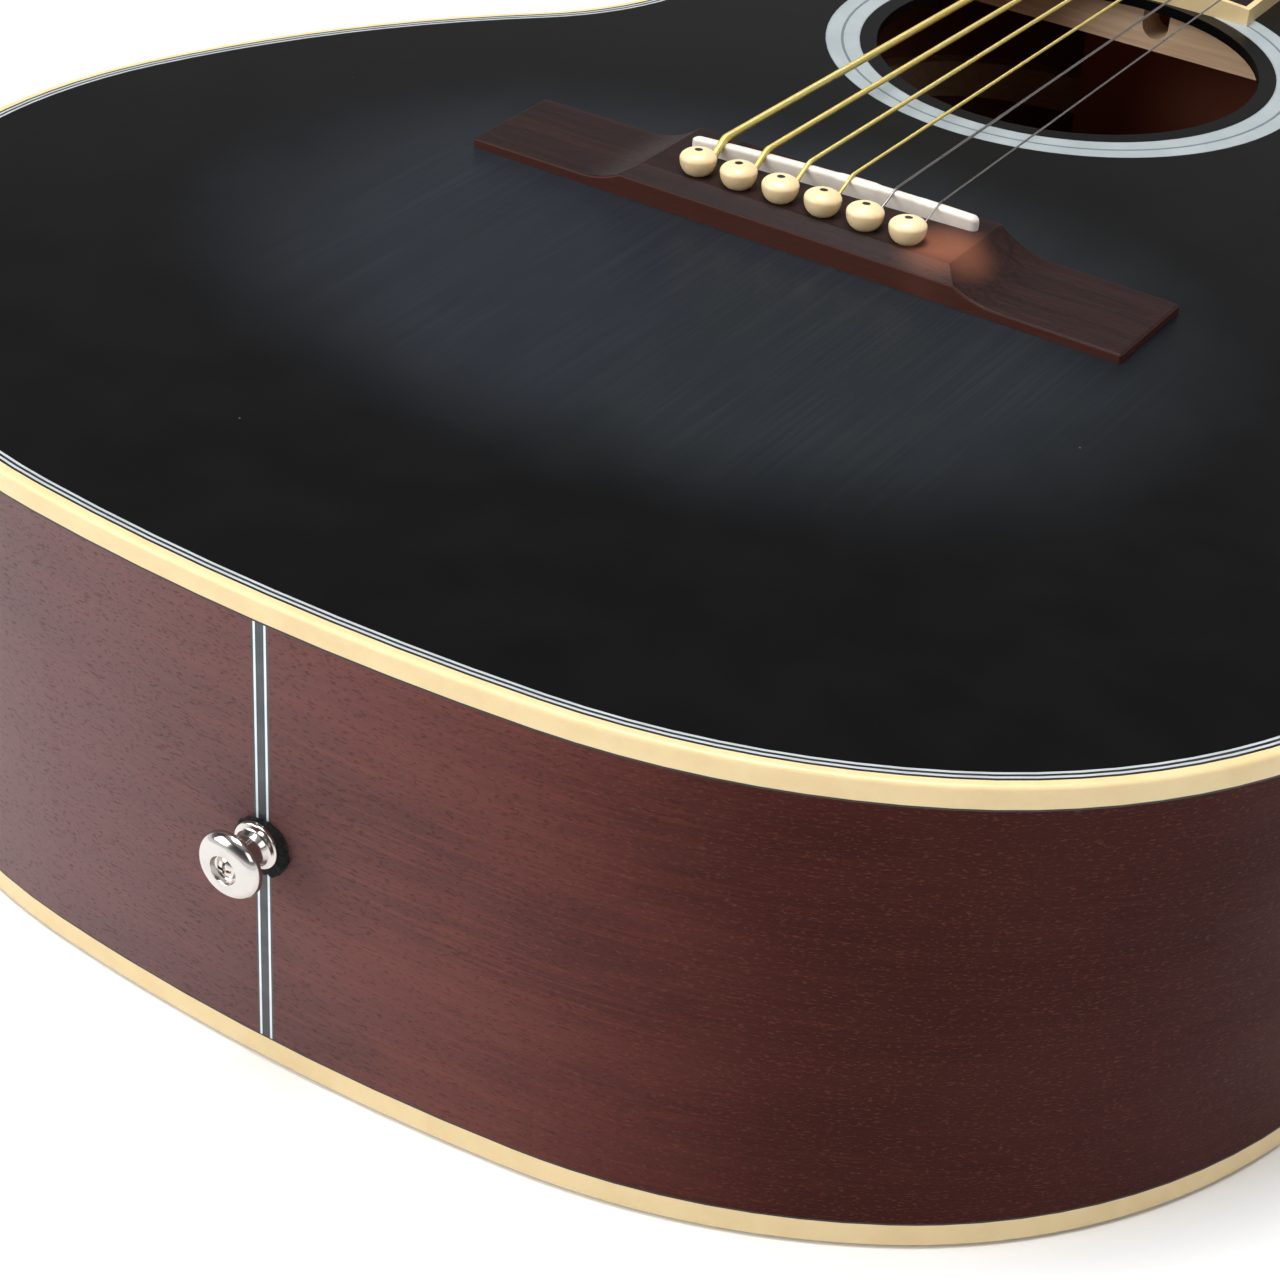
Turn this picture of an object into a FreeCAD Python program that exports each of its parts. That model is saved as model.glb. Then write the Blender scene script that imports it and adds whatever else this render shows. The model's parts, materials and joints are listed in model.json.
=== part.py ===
"""Small-bodied flat-top acoustic guitar, built from its separate pieces.

Everything is drawn in the soundboard frame: X across (bass side negative), Y from the tail towards
the headstock with zero at the bridge pins, Z out of the soundboard with zero on its outer face.
The last step tips every piece so that the sloping back lies flat on the ground plane.
"""
import FreeCAD, Part
import math
import os

from FreeCAD import Placement, Rotation, Vector

SIZES = {
    # body
    "tail_to_pins": 195.3,
    "pins_to_joint": 294.5,
    "depth_at_tail": 113.0,
    "back_slope": 0.06,
    "top_thickness": 2.8,
    "back_thickness": 2.6,
    "side_thickness": 2.1,
    "top_binding_height": 4.8,
    "back_binding_height": 5.8,
    "binding_round": 0.9,
    "side_line_height": 0.45,
    "purfling_line": 0.6,
    "purfling_depth": 1.3,
    "lining_width": 5.0,
    "lining_height": 12.0,
    "block_half_width": 38.0,
    "neck_block_length": 50.0,
    "tail_block_length": 16.0,
    "graft_half_width": 2.0,
    "graft_line_inner": 1.0,
    "graft_line_outer": 1.55,
    # soundhole
    "hole_centre": 141.1,
    "hole_radius": 50.8,
    "rosette_inner": 55.3,
    "rosette_split_inner": 59.6,
    "rosette_split_outer": 60.3,
    "rosette_outer": 64.4,
    "rosette_depth": 0.9,
    # bridge
    "bridge_half_length": 86.6,
    "bridge_back": 8.5,
    "bridge_front": 22.4,
    "bridge_height": 7.8,
    "bridge_wing": 2.5,
    "bridge_flat_half": 41.0,
    "bridge_scoop_half": 56.0,
    "pin_spacing": 11.2,
    "pin_hole_radius": 2.6,
    "pin_head_radius": 4.4,
    "pin_head_rise": 2.3,
    "pin_head_centre": 11.4,
    "pin_dot_radius": 0.8,
    "saddle_half_length": 37.4,
    "saddle_offset": 0.8,
    "saddle_thickness": 3.2,
    "saddle_top": 11.6,
    "saddle_slot_depth": 5.0,
    "saddle_centre": 13.3,
    "saddle_slant": 3.6,
    "plate_thickness": 2.6,
    # neck
    "scale_length": 628.65,
    "pins_to_scale_end": 14.5,
    "board_end": 193.0,
    "board_half_at_nut": 22.0,
    "board_half_at_end": 29.2,
    "board_thickness": 6.0,
    "board_radius": 305.0,
    "board_binding": 1.6,
    "fret_count": 20,
    "fret_width": 2.2,
    "fret_height": 1.0,
    "tang_width": 0.6,
    "tang_depth": 2.0,
    "nut_thickness": 4.8,
    "nut_height": 8.3,
    "shaft_depth_at_nut": 15.0,
    "shaft_depth_at_heel": 17.5,
    "heel_bottom": 78.4,
    "heel_cap_thickness": 3.0,
    "tenon_depth": 70.0,
    "rod_half_width": 3.0,
    "rod_top": 3.1,
    "rod_bottom": 9.5,
    # headstock
    "head_angle": 10.0,
    "head_drop": 1.6,
    "head_thickness": 13.0,
    "head_veneer": 1.5,
    # tuners
    "post_across": 19.0,
    "first_post": 42.0,
    "post_step": 38.0,
    "post_radius": 3.0,
    "post_top": 13.0,
    "string_on_post": 8.0,
    "fit_clearance": 0.05,
    "plate_gauge": 1.0,
    "worm_axis_depth": 17.5,
    "gear_half_thickness": 1.3,
    "gear_pitch_radius": 5.0,
    "gear_teeth": 14,
    "worm_pitch_radius": 2.5,
    "worm_shaft_radius": 1.6,
    "button_near": 21.0,
    "button_length": 16.0,
    "button_half_width": 9.0,
    "button_thickness": 7.0,
    # strap button
    "strap_height": -56.0,
    "strap_head_radius": 7.2,
    "strap_length": 12.5,
    "felt_radius": 6.6,
    "felt_thickness": 1.4,
}

# treble half of the outline from the tail to the shoulder: radius and turn in degrees of each
# arc, each starting tangent to the one before; the waist turns the other way
OUTLINE_ARCS = ((528.0, 6.46), (168.4, 25.85), (123.9, 77.75), (270.0, 23.24),
                (72.1, -70.42), (138.6, 33.36), (62.7, 67.19))

STRING_DIAMETERS = (1.35, 1.07, 0.81, 0.61, 0.41, 0.30)  # lowest string first
MARKER_FRETS = (5, 7, 9, 12, 15)

doc = FreeCAD.newDocument("acoustic_guitar")
sheet = doc.addObject("Spreadsheet::Sheet", "sizes")
for row, (alias, value) in enumerate(SIZES.items(), start=1):
    sheet.set(f"A{row}", alias)
    sheet.set(f"B{row}", str(value))
    sheet.setAlias(f"B{row}", alias)
doc.recompute()

NODES = []


def size(alias):
    """Value of one driving dimension, read back from the sheet."""
    return float(sheet.get(alias))


SCALE_END = size("pins_to_scale_end")
NUT_Y = SCALE_END + size("scale_length")
JOINT_Y = size("pins_to_joint")
TAIL_Y = -size("tail_to_pins")
SIDE = size("side_thickness")
TOP = size("top_thickness")
FIT = size("fit_clearance")
HEAD_START = NUT_Y + size("nut_thickness")
HEAD_FRAME = Placement(Vector(0, HEAD_START, -size("head_drop")),
                       Rotation(Vector(1, 0, 0), -size("head_angle")))
FAR = 1000.0


def back_face(y, height=0.0):
    """Z of the plane that lies the given height above the outer face of the back."""
    return -size("depth_at_tail") + size("back_slope") * (y - TAIL_Y) + height


def fret_y(number):
    """Y of a fret by the equal-tempered rule."""
    return NUT_Y - size("scale_length") * (1 - 2 ** (-number / 12))


def board_half(y):
    """Half width of the fretboard, binding included, at Y."""
    along = (NUT_Y - y) / (NUT_Y - size("board_end"))
    return size("board_half_at_nut") + along * (size("board_half_at_end") - size("board_half_at_nut"))


# ---------------------------------------------------------------- outlines as sketch geometry

def polygon(points):
    corners = [Vector(x, y, 0) for x, y in points]
    return [Part.LineSegment(a, b) for a, b in zip(corners, corners[1:] + corners[:1])]


def rectangle(left, low, right, high):
    return polygon([(left, low), (right, low), (right, high), (left, high)])


def circle(x, y, radius):
    return [Part.Circle(Vector(x, y, 0), Vector(0, 0, 1), radius)]


def chain_outline(inset, start_x=0.0):
    """Arcs of the treble half of the outline, tail to neck, moved inward by inset.

    Each arc is a list of three points: start, middle and end.
    """
    arcs = []
    point = Vector(0, TAIL_Y, 0)
    heading = 0.0
    for radius, sweep in OUTLINE_ARCS:
        turn = math.copysign(1, sweep)
        centre = point + Vector(-math.sin(heading), math.cos(heading), 0) * (turn * radius)
        end = heading + math.radians(sweep)
        arcs.append((centre, turn, radius, heading, end))
        point = centre + Vector(math.sin(end), -math.cos(end), 0) * (turn * radius)
        heading = end
    # the shoulder arc runs on until it heads straight across towards the centre line
    radius = (JOINT_Y - point.y) / (1 + math.cos(heading))
    centre = point + Vector(-math.sin(heading), math.cos(heading), 0) * radius
    arcs.append((centre, 1, radius, heading, math.pi))

    result = []
    for centre, turn, radius, start, end in arcs:
        inner = radius - turn * inset
        if not result:
            start = math.asin(start_x / inner)
        angles = (start, (start + end) / 2, end)
        result.append([centre + Vector(math.sin(a), -math.cos(a), 0) * (turn * inner) for a in angles])
    return result


def half_outline(inset, start_x=0.0):
    """Treble half as sketch edges, with the short flat that meets the heel."""
    arcs = chain_outline(inset, start_x)
    edges = [Part.Arc(*points) for points in arcs]
    last = arcs[-1][-1]
    edges.append(Part.LineSegment(last, Vector(0, last.y, 0)))
    return edges


def flip(point):
    return Vector(-point.x, point.y, point.z)


def outline(inset):
    """The whole closed outline, moved inward by inset."""
    arcs = chain_outline(inset)
    edges = [Part.Arc(*points) for points in arcs]
    edges += [Part.Arc(*[flip(p) for p in reversed(points)]) for points in arcs]
    last = arcs[-1][-1]
    edges.append(Part.LineSegment(last, flip(last)))
    return edges


# ---------------------------------------------------------------- feature helpers

def new_body(name):
    return doc.addObject("PartDesign::Body", name)


def origin_item(body, role):
    return next(item for item in body.Origin.OriginFeatures if item.Role == role)


def add_sketch(body, role, edges, offset=Placement()):
    sketch = body.newObject("Sketcher::SketchObject", body.Name + "_sketch")
    sketch.AttachmentSupport = [(origin_item(body, role), "")]
    sketch.MapMode = "FlatFace"
    sketch.AttachmentOffset = offset
    for edge in edges:
        sketch.addGeometry(edge, False)
    return sketch


def at(distance):
    """Offset of a sketch along the normal of its plane."""
    return Placement(Vector(0, 0, distance), Rotation())


def add_feature(body, kind, sketch, length=None, both=False, back=False):
    """Pad or Pocket of a sketch; length is a number or an expression on the sheet."""
    feature = body.newObject("PartDesign::" + kind, body.Name + "_" + kind.lower())
    feature.Profile = sketch
    if isinstance(length, str):
        feature.setExpression("Length", length)
    else:
        feature.Length = length
    feature.Midplane = both
    feature.Reversed = back
    return feature


def pad(body, role, edges, length, offset=Placement(), both=False, back=False):
    return add_feature(body, "Pad", add_sketch(body, role, edges, offset), length, both, back)


def cut(body, role, edges, length=2 * FAR, offset=Placement(), both=True, back=False):
    """Pocket; checks that it takes material away."""
    doc.recompute()
    before = body.Shape.Volume
    feature = add_feature(body, "Pocket", add_sketch(body, role, edges, offset), length, both, back)
    doc.recompute()
    if not body.Shape.Volume < before - 1e-6:
        raise RuntimeError("a pocket cut nothing in " + body.Name)
    return feature


def revolve(body, role, edges, axis="V_Axis", angle=360.0, offset=Placement(), groove=False, both=False):
    kind = "Groove" if groove else "Revolution"
    sketch = add_sketch(body, role, edges, offset)
    feature = body.newObject("PartDesign::" + kind, body.Name + "_" + kind.lower())
    feature.Profile = sketch
    feature.ReferenceAxis = (sketch, [axis])
    feature.Angle = angle
    feature.Midplane = both
    return feature


def loft(body, sections):
    """AdditiveLoft through a list of sketches."""
    feature = body.newObject("PartDesign::AdditiveLoft", body.Name + "_loft")
    feature.Profile = sections[0]
    feature.Sections = sections[1:]
    return feature


def round_edges(body, radius, wanted):
    """Fillet of the edges of the body's present shape for which wanted(edge) is true."""
    doc.recompute()
    base = body.Tip
    names = [f"Edge{i}" for i, edge in enumerate(base.Shape.Edges, start=1) if wanted(edge)]
    feature = body.newObject("PartDesign::Fillet", body.Name + "_fillet")
    feature.Base = (base, names)
    if isinstance(radius, str):
        feature.setExpression("Radius", radius)
    else:
        feature.Radius = radius
    return feature


def edge_middle(edge):
    return edge.valueAt((edge.FirstParameter + edge.LastParameter) / 2)


def join(name, kind, items):
    """Part boolean or compound of several objects."""
    result = doc.addObject("Part::" + kind, name)
    if kind == "Compound":
        result.Links = items
    elif kind in ("MultiFuse", "MultiCommon"):
        result.Shapes = items
    else:
        result.Base, result.Tool = items
    return result


def node(item, label, local=Placement()):
    """Register a finished sub-part; local places it in the soundboard frame."""
    item.Label = label
    NODES.append((item, local))
    return item


def trim_to_back(body, height, above=True):
    """Cut away what lies below (or above) the plane at a height over the outer face of the back."""
    near, far = TAIL_Y - 60, JOINT_Y + 60
    beyond = -400 if above else 200
    edges = polygon([(near, back_face(near, height)), (far, back_face(far, height)),
                     (far, beyond), (near, beyond)])
    cut(body, "YZ_Plane", edges)


def mortise(body, clearance=FIT):
    """Dovetail slot for the neck, open at the soundboard."""
    cut(body, "XY_Plane", tenon_outline(clearance), length=size("tenon_depth") + clearance,
        offset=at(0), both=False, back=False)


def tenon_outline(clearance=0.0):
    mouth, inner, reach = 9.0, 12.0, 17.0
    front = JOINT_Y + (1.0 if clearance else 0.0)
    back = JOINT_Y - reach - clearance
    return polygon([(-mouth - clearance, front), (-inner - clearance, back),
                    (inner + clearance, back), (mouth + clearance, front)])


def strap_bore(body, radius):
    """Hole for the strap button's screw, along Y through the tail."""
    cut(body, "XZ_Plane", circle(0, size("strap_height"), radius), length=60.0,
        offset=at(-TAIL_Y + 5), both=False, back=False)


# ---------------------------------------------------------------- soundboard and trim

PURFLING_START = SIDE
PURFLING_LINES = 4
PURFLING_END = PURFLING_START + PURFLING_LINES * size("purfling_line")


def make_soundboard():
    body = new_body("soundboard_body")
    pad(body, "XY_Plane", outline(SIDE) + circle(0, size("hole_centre"), size("hole_radius")),
        "sizes.top_thickness", back=True)
    cut(body, "XY_Plane", outline(SIDE) + outline(PURFLING_END), size("purfling_depth"), both=False)
    cut(body, "XY_Plane", rosette_groove(), size("rosette_depth"), both=False)
    cut(body, "XY_Plane", pin_holes(), both=True)
    mortise(body)
    node(body, "soundboard")


def rosette_groove():
    y = size("hole_centre")
    edges = []
    for alias in ("rosette_inner", "rosette_split_inner", "rosette_split_outer", "rosette_outer"):
        edges += circle(0, y, size(alias))
    return edges


def pin_x(index):
    """X of a bridge pin, string 0 being the lowest."""
    return (index - 2.5) * size("pin_spacing")


STRING_SLOT_HALF = 0.75
STRING_RAMP_END = 6.4


def pin_holes(slot_end=4.0):
    """Round hole for each pin with a slot on the neck side where the string stands."""
    radius = size("pin_hole_radius")
    side = math.sqrt(radius ** 2 - STRING_SLOT_HALF ** 2)
    edges = []
    for index in range(6):
        x = pin_x(index)
        left, right = x - STRING_SLOT_HALF, x + STRING_SLOT_HALF
        edges.append(Part.Arc(Vector(left, side, 0), Vector(x, -radius, 0), Vector(right, side, 0)))
        edges.append(Part.LineSegment(Vector(right, side, 0), Vector(right, slot_end, 0)))
        edges.append(Part.LineSegment(Vector(right, slot_end, 0), Vector(left, slot_end, 0)))
        edges.append(Part.LineSegment(Vector(left, slot_end, 0), Vector(left, side, 0)))
    return edges


def make_rosette():
    body = new_body("rosette_body")
    pad(body, "XY_Plane", rosette_groove(), "sizes.rosette_depth", back=True)
    node(body, "rosette_rings")


def ring(name, outer, inner, top, height):
    """Band that follows the outline between two insets, from top downwards."""
    body = new_body(name)
    pad(body, "XY_Plane", outline(outer) + outline(inner), height, offset=at(top), back=True)
    return body


def make_top_binding():
    body = ring("top_binding_body", 0, SIDE, 0, "sizes.top_binding_height")

    def outer_top(edge):
        point = edge_middle(edge)
        inside = any(point.distanceToPoint(arc[1]) < 0.01 for arc in OUTER_MIDDLES)
        return abs(point.z) < 1e-6 and inside

    round_edges(body, "sizes.binding_round", outer_top)
    mortise(body)
    node(body, "top_binding")


OUTER_MIDDLES = chain_outline(0)
OUTER_MIDDLES += [[flip(p) for p in points] for points in OUTER_MIDDLES]


def make_back_binding():
    body = new_body("back_binding_body")
    pad(body, "XY_Plane", outline(0) + outline(SIDE), 140.0, back=True)
    trim_to_back(body, 0, above=True)
    trim_to_back(body, size("back_binding_height"), above=False)

    def outer_low(edge):
        point = edge_middle(edge)
        low = abs(point.z - back_face(point.y)) < 0.01
        return low and any(math.hypot(point.x - a[1].x, point.y - a[1].y) < 0.2 for a in OUTER_MIDDLES)

    round_edges(body, "sizes.binding_round", outer_low)
    node(body, "back_binding")


def make_purfling():
    line = size("purfling_line")
    depth = size("purfling_depth")
    bands = {"black": [], "white": []}
    for index in range(PURFLING_LINES):
        colour = "black" if index % 2 == 0 else "white"
        inset = PURFLING_START + index * line
        band = ring(f"purfling_{index}", inset, inset + line, 0, depth)
        mortise(band)
        bands[colour].append(band)
    top_line = ring("side_line_top", 0, SIDE, -size("top_binding_height"), "sizes.side_line_height")
    mortise(top_line)
    back_line = new_body("side_line_back")
    pad(back_line, "XY_Plane", outline(0) + outline(SIDE), 140.0, back=True)
    over = size("back_binding_height")
    trim_to_back(back_line, over, above=True)
    trim_to_back(back_line, over + size("side_line_height"), above=False)
    node(join("purfling_white", "Compound", bands["white"]), "purfling_white")
    node(join("purfling_black", "Compound", bands["black"] + [top_line, back_line]), "purfling_black")


# ---------------------------------------------------------------- sides, back and blocks

SIDE_TOP = -size("top_binding_height") - size("side_line_height")
SIDE_LOW = size("back_binding_height") + size("side_line_height")
INNER_BACK = size("back_thickness")


def make_side(name, side):
    """One bent side, from the end graft to the centre of the heel."""
    graft = size("graft_half_width")
    outer = half_outline(0, graft)
    inner = half_outline(SIDE, graft)
    ends = [Part.LineSegment(outer[0].StartPoint, inner[0].StartPoint),
            Part.LineSegment(outer[-1].EndPoint, inner[-1].EndPoint)]
    body = new_body(name + "_body")
    edges = outer + inner + ends
    if side < 0:
        edges = [mirror_edge(edge) for edge in edges]
    pad(body, "XY_Plane", edges, 130.0, offset=at(SIDE_TOP), back=True)
    trim_to_back(body, SIDE_LOW)
    mortise(body)
    strap_bore(body, STRAP_BORE)
    node(body, name)


def mirror_edge(edge):
    if isinstance(edge, Part.LineSegment):
        return Part.LineSegment(flip(edge.StartPoint), flip(edge.EndPoint))
    middle = edge.value((edge.FirstParameter + edge.LastParameter) / 2)
    return Part.Arc(flip(edge.StartPoint), flip(middle), flip(edge.EndPoint))


def make_back():
    body = new_body("back_body")
    pad(body, "XY_Plane", outline(SIDE), 140.0, back=True)
    trim_to_back(body, 0, above=True)
    trim_to_back(body, INNER_BACK, above=False)
    node(body, "back")


def tail_strip(name, halves):
    """Part of the tail end between pairs of X, side thickness deep and side height tall."""
    body = new_body(name)
    for left, right in halves:
        edges = []
        outer = [tail_point(x, 0) for x in (left, (left + right) / 2, right)]
        inner = [tail_point(x, SIDE) for x in (left, (left + right) / 2, right)]
        edges.append(Part.Arc(*outer))
        edges.append(Part.Arc(*inner))
        edges.append(Part.LineSegment(outer[0], inner[0]))
        edges.append(Part.LineSegment(outer[2], inner[2]))
        pad(body, "XY_Plane", edges, 130.0, offset=at(SIDE_TOP), back=True)
    trim_to_back(body, SIDE_LOW)
    strap_bore(body, STRAP_BORE)
    return body


def tail_point(x, inset):
    """Point of the tail arc at X, moved inward by inset."""
    radius = OUTLINE_ARCS[0][0]
    centre_y = TAIL_Y + radius
    return Vector(x, centre_y - math.sqrt((radius - inset) ** 2 - x ** 2), 0)


def make_graft():
    whole = size("graft_half_width")
    inner = size("graft_line_inner")
    outer = size("graft_line_outer")
    node(tail_strip("end_graft_body", [(-whole, -outer), (-inner, inner), (outer, whole)]), "end_graft")
    node(tail_strip("graft_lines_body", [(-outer, -inner), (inner, outer)]), "end_graft_lines")


def make_tail_block():
    half = size("block_half_width")
    reach = size("tail_block_length")
    body = new_body("tail_block_body")
    inside = TAIL_Y + SIDE + reach
    arc = Part.Arc(tail_point(-half, SIDE), tail_point(0, SIDE), tail_point(half, SIDE))
    edges = [arc,
             Part.LineSegment(arc.StartPoint, Vector(-half, inside, 0)),
             Part.LineSegment(Vector(-half, inside, 0), Vector(half, inside, 0)),
             Part.LineSegment(Vector(half, inside, 0), arc.EndPoint)]
    pad(body, "XY_Plane", edges, 130.0, offset=at(-TOP), back=True)
    trim_to_back(body, INNER_BACK)
    strap_bore(body, STRAP_BORE)
    node(body, "tail_block")


NECK_BLOCK_INSIDE = JOINT_Y - SIDE - size("neck_block_length")


def make_neck_block():
    half = size("block_half_width")
    body = new_body("neck_block_body")
    pad(body, "XY_Plane", rectangle(-half, NECK_BLOCK_INSIDE, half, JOINT_Y - SIDE), 130.0,
        offset=at(-TOP), back=True)
    trim_to_back(body, INNER_BACK)
    mortise(body)
    rod_channel(body, ROD_NUT_ROOM)
    shouldered = join("neck_block_shouldered", "MultiCommon", [body, inner_prism("block_limit", SIDE)])
    node(shouldered, "neck_block")


ROD_NUT_ROOM = 1.0


def rod_channel(body, room=0.0):
    """Straight channel for the truss rod; room widens and deepens it for the adjusting nut."""
    half = size("rod_half_width") + FIT + room
    low = -size("rod_bottom") - FIT - room
    cut(body, "XZ_Plane", rectangle(-half, low, half, -size("rod_top") + FIT),
        length=ROD_END - NECK_BLOCK_INSIDE + 1, offset=at(-NECK_BLOCK_INSIDE + 0.5), both=False)


def make_linings():
    width = size("lining_width")
    height = size("lining_height")
    half = size("block_half_width") + FIT
    items = []
    upper = ring("lining_top", SIDE, SIDE + width, -TOP, "sizes.lining_height")
    lower = new_body("lining_back")
    pad(lower, "XY_Plane", outline(SIDE) + outline(SIDE + width), 140.0, back=True)
    trim_to_back(lower, INNER_BACK, above=True)
    trim_to_back(lower, INNER_BACK + height, above=False)
    for item in (upper, lower):
        cut(item, "XY_Plane", rectangle(-half, TAIL_Y - 10, half, TAIL_Y + 40))
        cut(item, "XY_Plane", rectangle(-half, JOINT_Y - 60, half, JOINT_Y + 10))
        items.append(item)
    node(join("linings", "Compound", items), "linings")


# ---------------------------------------------------------------- braces

BRACE_GAP = 0.4
BRACE_INSET = SIDE + size("lining_width") + BRACE_GAP
X_CROSSING_Y = 62.0
X_ANGLE = 49.0


def brace(name, start, end, width, height, top=-TOP, gable=0.35):
    """Bar with a gabled lower edge between two points, hanging from the given height."""
    body = new_body(name)
    half = width / 2
    run = Vector(end[0] - start[0], end[1] - start[1], 0)
    profile = polygon([(-half, 0), (-half, -height * (1 - gable)), (0, -height),
                       (half, -height * (1 - gable)), (half, 0)])
    pad(body, "YZ_Plane", profile, run.Length)
    body.Placement = Placement(Vector(start[0], start[1], top),
                               Rotation(Vector(1, 0, 0), run))
    return body


def strip(name, x, y, length, width, height, top=-TOP):
    """Flat reinforcing strip, centred on X and starting at Y."""
    box = doc.addObject("Part::Box", name)
    box.Length, box.Width, box.Height = width, length, height
    box.Placement = Placement(Vector(x - width / 2, y, top - height), Rotation())
    return box


def inner_prism(name, inset):
    body = new_body(name)
    pad(body, "XY_Plane", outline(inset), 2 * FAR, both=True)
    return body


def make_transverse_bar():
    """Bar between the soundhole and the neck block, with a round-bottomed truss rod notch at its top."""
    reach, y = 200.0, 206.0
    notch_half, notch_deep = 4.0, 11.2
    bar = brace("transverse_bar", (-reach, y), (reach, y), 11.0, 16.8, gable=0.12)
    left, right = reach - notch_half, reach + notch_half
    turn, lid = notch_half - notch_deep, 5.0
    crown = Part.Arc(Vector(left, turn, 0), Vector(reach, -notch_deep, 0), Vector(right, turn, 0))
    notch = [crown,
             Part.LineSegment(Vector(right, turn, 0), Vector(right, lid, 0)),
             Part.LineSegment(Vector(right, lid, 0), Vector(left, lid, 0)),
             Part.LineSegment(Vector(left, lid, 0), Vector(left, turn, 0))]
    cut(bar, "XZ_Plane", notch)
    return bar


def make_top_braces():
    reach = 260.0
    across, along = math.sin(math.radians(X_ANGLE)), math.cos(math.radians(X_ANGLE))
    legs = []
    for side in (-1, 1):
        start = (-side * reach * across, X_CROSSING_Y - reach * along)
        end = (side * reach * across, X_CROSSING_Y + reach * along)
        legs.append(brace(f"x_leg_{'bass' if side < 0 else 'treble'}", start, end, 8.0, 14.0))
    cross = join("x_brace_legs", "MultiFuse", legs)
    x_brace = join("x_brace", "MultiCommon", [cross, inner_prism("x_brace_limit", BRACE_INSET)])

    pieces = [make_transverse_bar()]
    pieces.append(brace("tone_bar_long", (-93.0, -34.0), (52.0, -150.0), 7.0, 11.0))
    pieces.append(brace("tone_bar_short", (-118.0, -58.0), (-20.0, -172.0), 7.0, 10.0))
    for side in (-1, 1):
        word = "bass" if side < 0 else "treble"
        pieces.append(brace(f"finger_{word}_front", (side * 64.0, 16.0), (side * 190.0, 32.0), 6.0, 8.0))
        pieces.append(brace(f"finger_{word}_back", (side * 108.0, -22.0), (side * 200.0, -30.0), 6.0, 8.0))
        pieces.append(strip(f"hole_strip_{word}", side * 66.0, 128.0, 66.0, 14.0, 2.2))
    limit = inner_prism("top_brace_limit", BRACE_INSET)
    trimmed = [x_brace]
    for piece in pieces:
        trimmed.append(join(piece.Name + "_trimmed", "MultiCommon", [piece, limit]))
    node(join("top_braces", "Compound", trimmed), "top_braces")


def make_bridge_plate():
    body = new_body("bridge_plate_body")
    leg_clear = 4.0 / math.cos(math.radians(X_ANGLE)) + 0.3
    slope = math.tan(math.radians(X_ANGLE))
    front, back = 23.0, -13.0
    near = (X_CROSSING_Y - front) * slope - leg_clear
    far = (X_CROSSING_Y - back) * slope - leg_clear
    pad(body, "XY_Plane", polygon([(-near, front), (-far, back), (far, back), (near, front)]),
        "sizes.plate_thickness", offset=at(-TOP), back=True)
    cut(body, "XY_Plane", pin_holes())
    node(body, "bridge_plate")


def make_back_braces():
    limit = inner_prism("back_brace_limit", BRACE_INSET)
    bars = []
    places = ((-118.0, 16.0, 9.0), (-22.0, 16.0, 9.0), (88.0, 8.0, 14.0), (196.0, 8.0, 14.0))
    for index, (y, width, height) in enumerate(places):
        bars.append(back_bar(f"back_bar_{index}", y, width, height))
    bounds = [TAIL_Y + SIDE + size("tail_block_length")]
    for y, width, height in places:
        bounds += [y - width / 2, y + width / 2]
    bounds.append(NECK_BLOCK_INSIDE)
    gap = 0.3
    for index in range(0, len(bounds), 2):
        bars.append(back_seam(f"back_seam_{index // 2}", bounds[index] + gap, bounds[index + 1] - gap))
    trimmed = [join(bar.Name + "_trimmed", "MultiCommon", [bar, limit]) for bar in bars]
    node(join("back_braces", "Compound", trimmed), "back_braces")


def back_bar(name, y, width, height):
    """Ladder bar standing on the inner face of the back."""
    body = new_body(name)
    foot_front = back_face(y + width / 2, INNER_BACK)
    foot_back = back_face(y - width / 2, INNER_BACK)
    crown = back_face(y, INNER_BACK + height)
    shoulder = 0.4 * height
    profile = polygon([(y - width / 2, foot_back), (y + width / 2, foot_front),
                       (y + width / 2, crown - shoulder), (y, crown), (y - width / 2, crown - shoulder)])
    pad(body, "YZ_Plane", profile, 420.0, both=True)
    return body


def back_seam(name, start, end):
    """Cross-grain strip over the centre joint of the back."""
    body = new_body(name)
    thickness = 2.0
    profile = polygon([(start, back_face(start, INNER_BACK)), (end, back_face(end, INNER_BACK)),
                       (end, back_face(end, INNER_BACK + thickness)),
                       (start, back_face(start, INNER_BACK + thickness))])
    pad(body, "YZ_Plane", profile, 15.0, both=True)
    return body


# ---------------------------------------------------------------- bridge, saddle and pins

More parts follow.
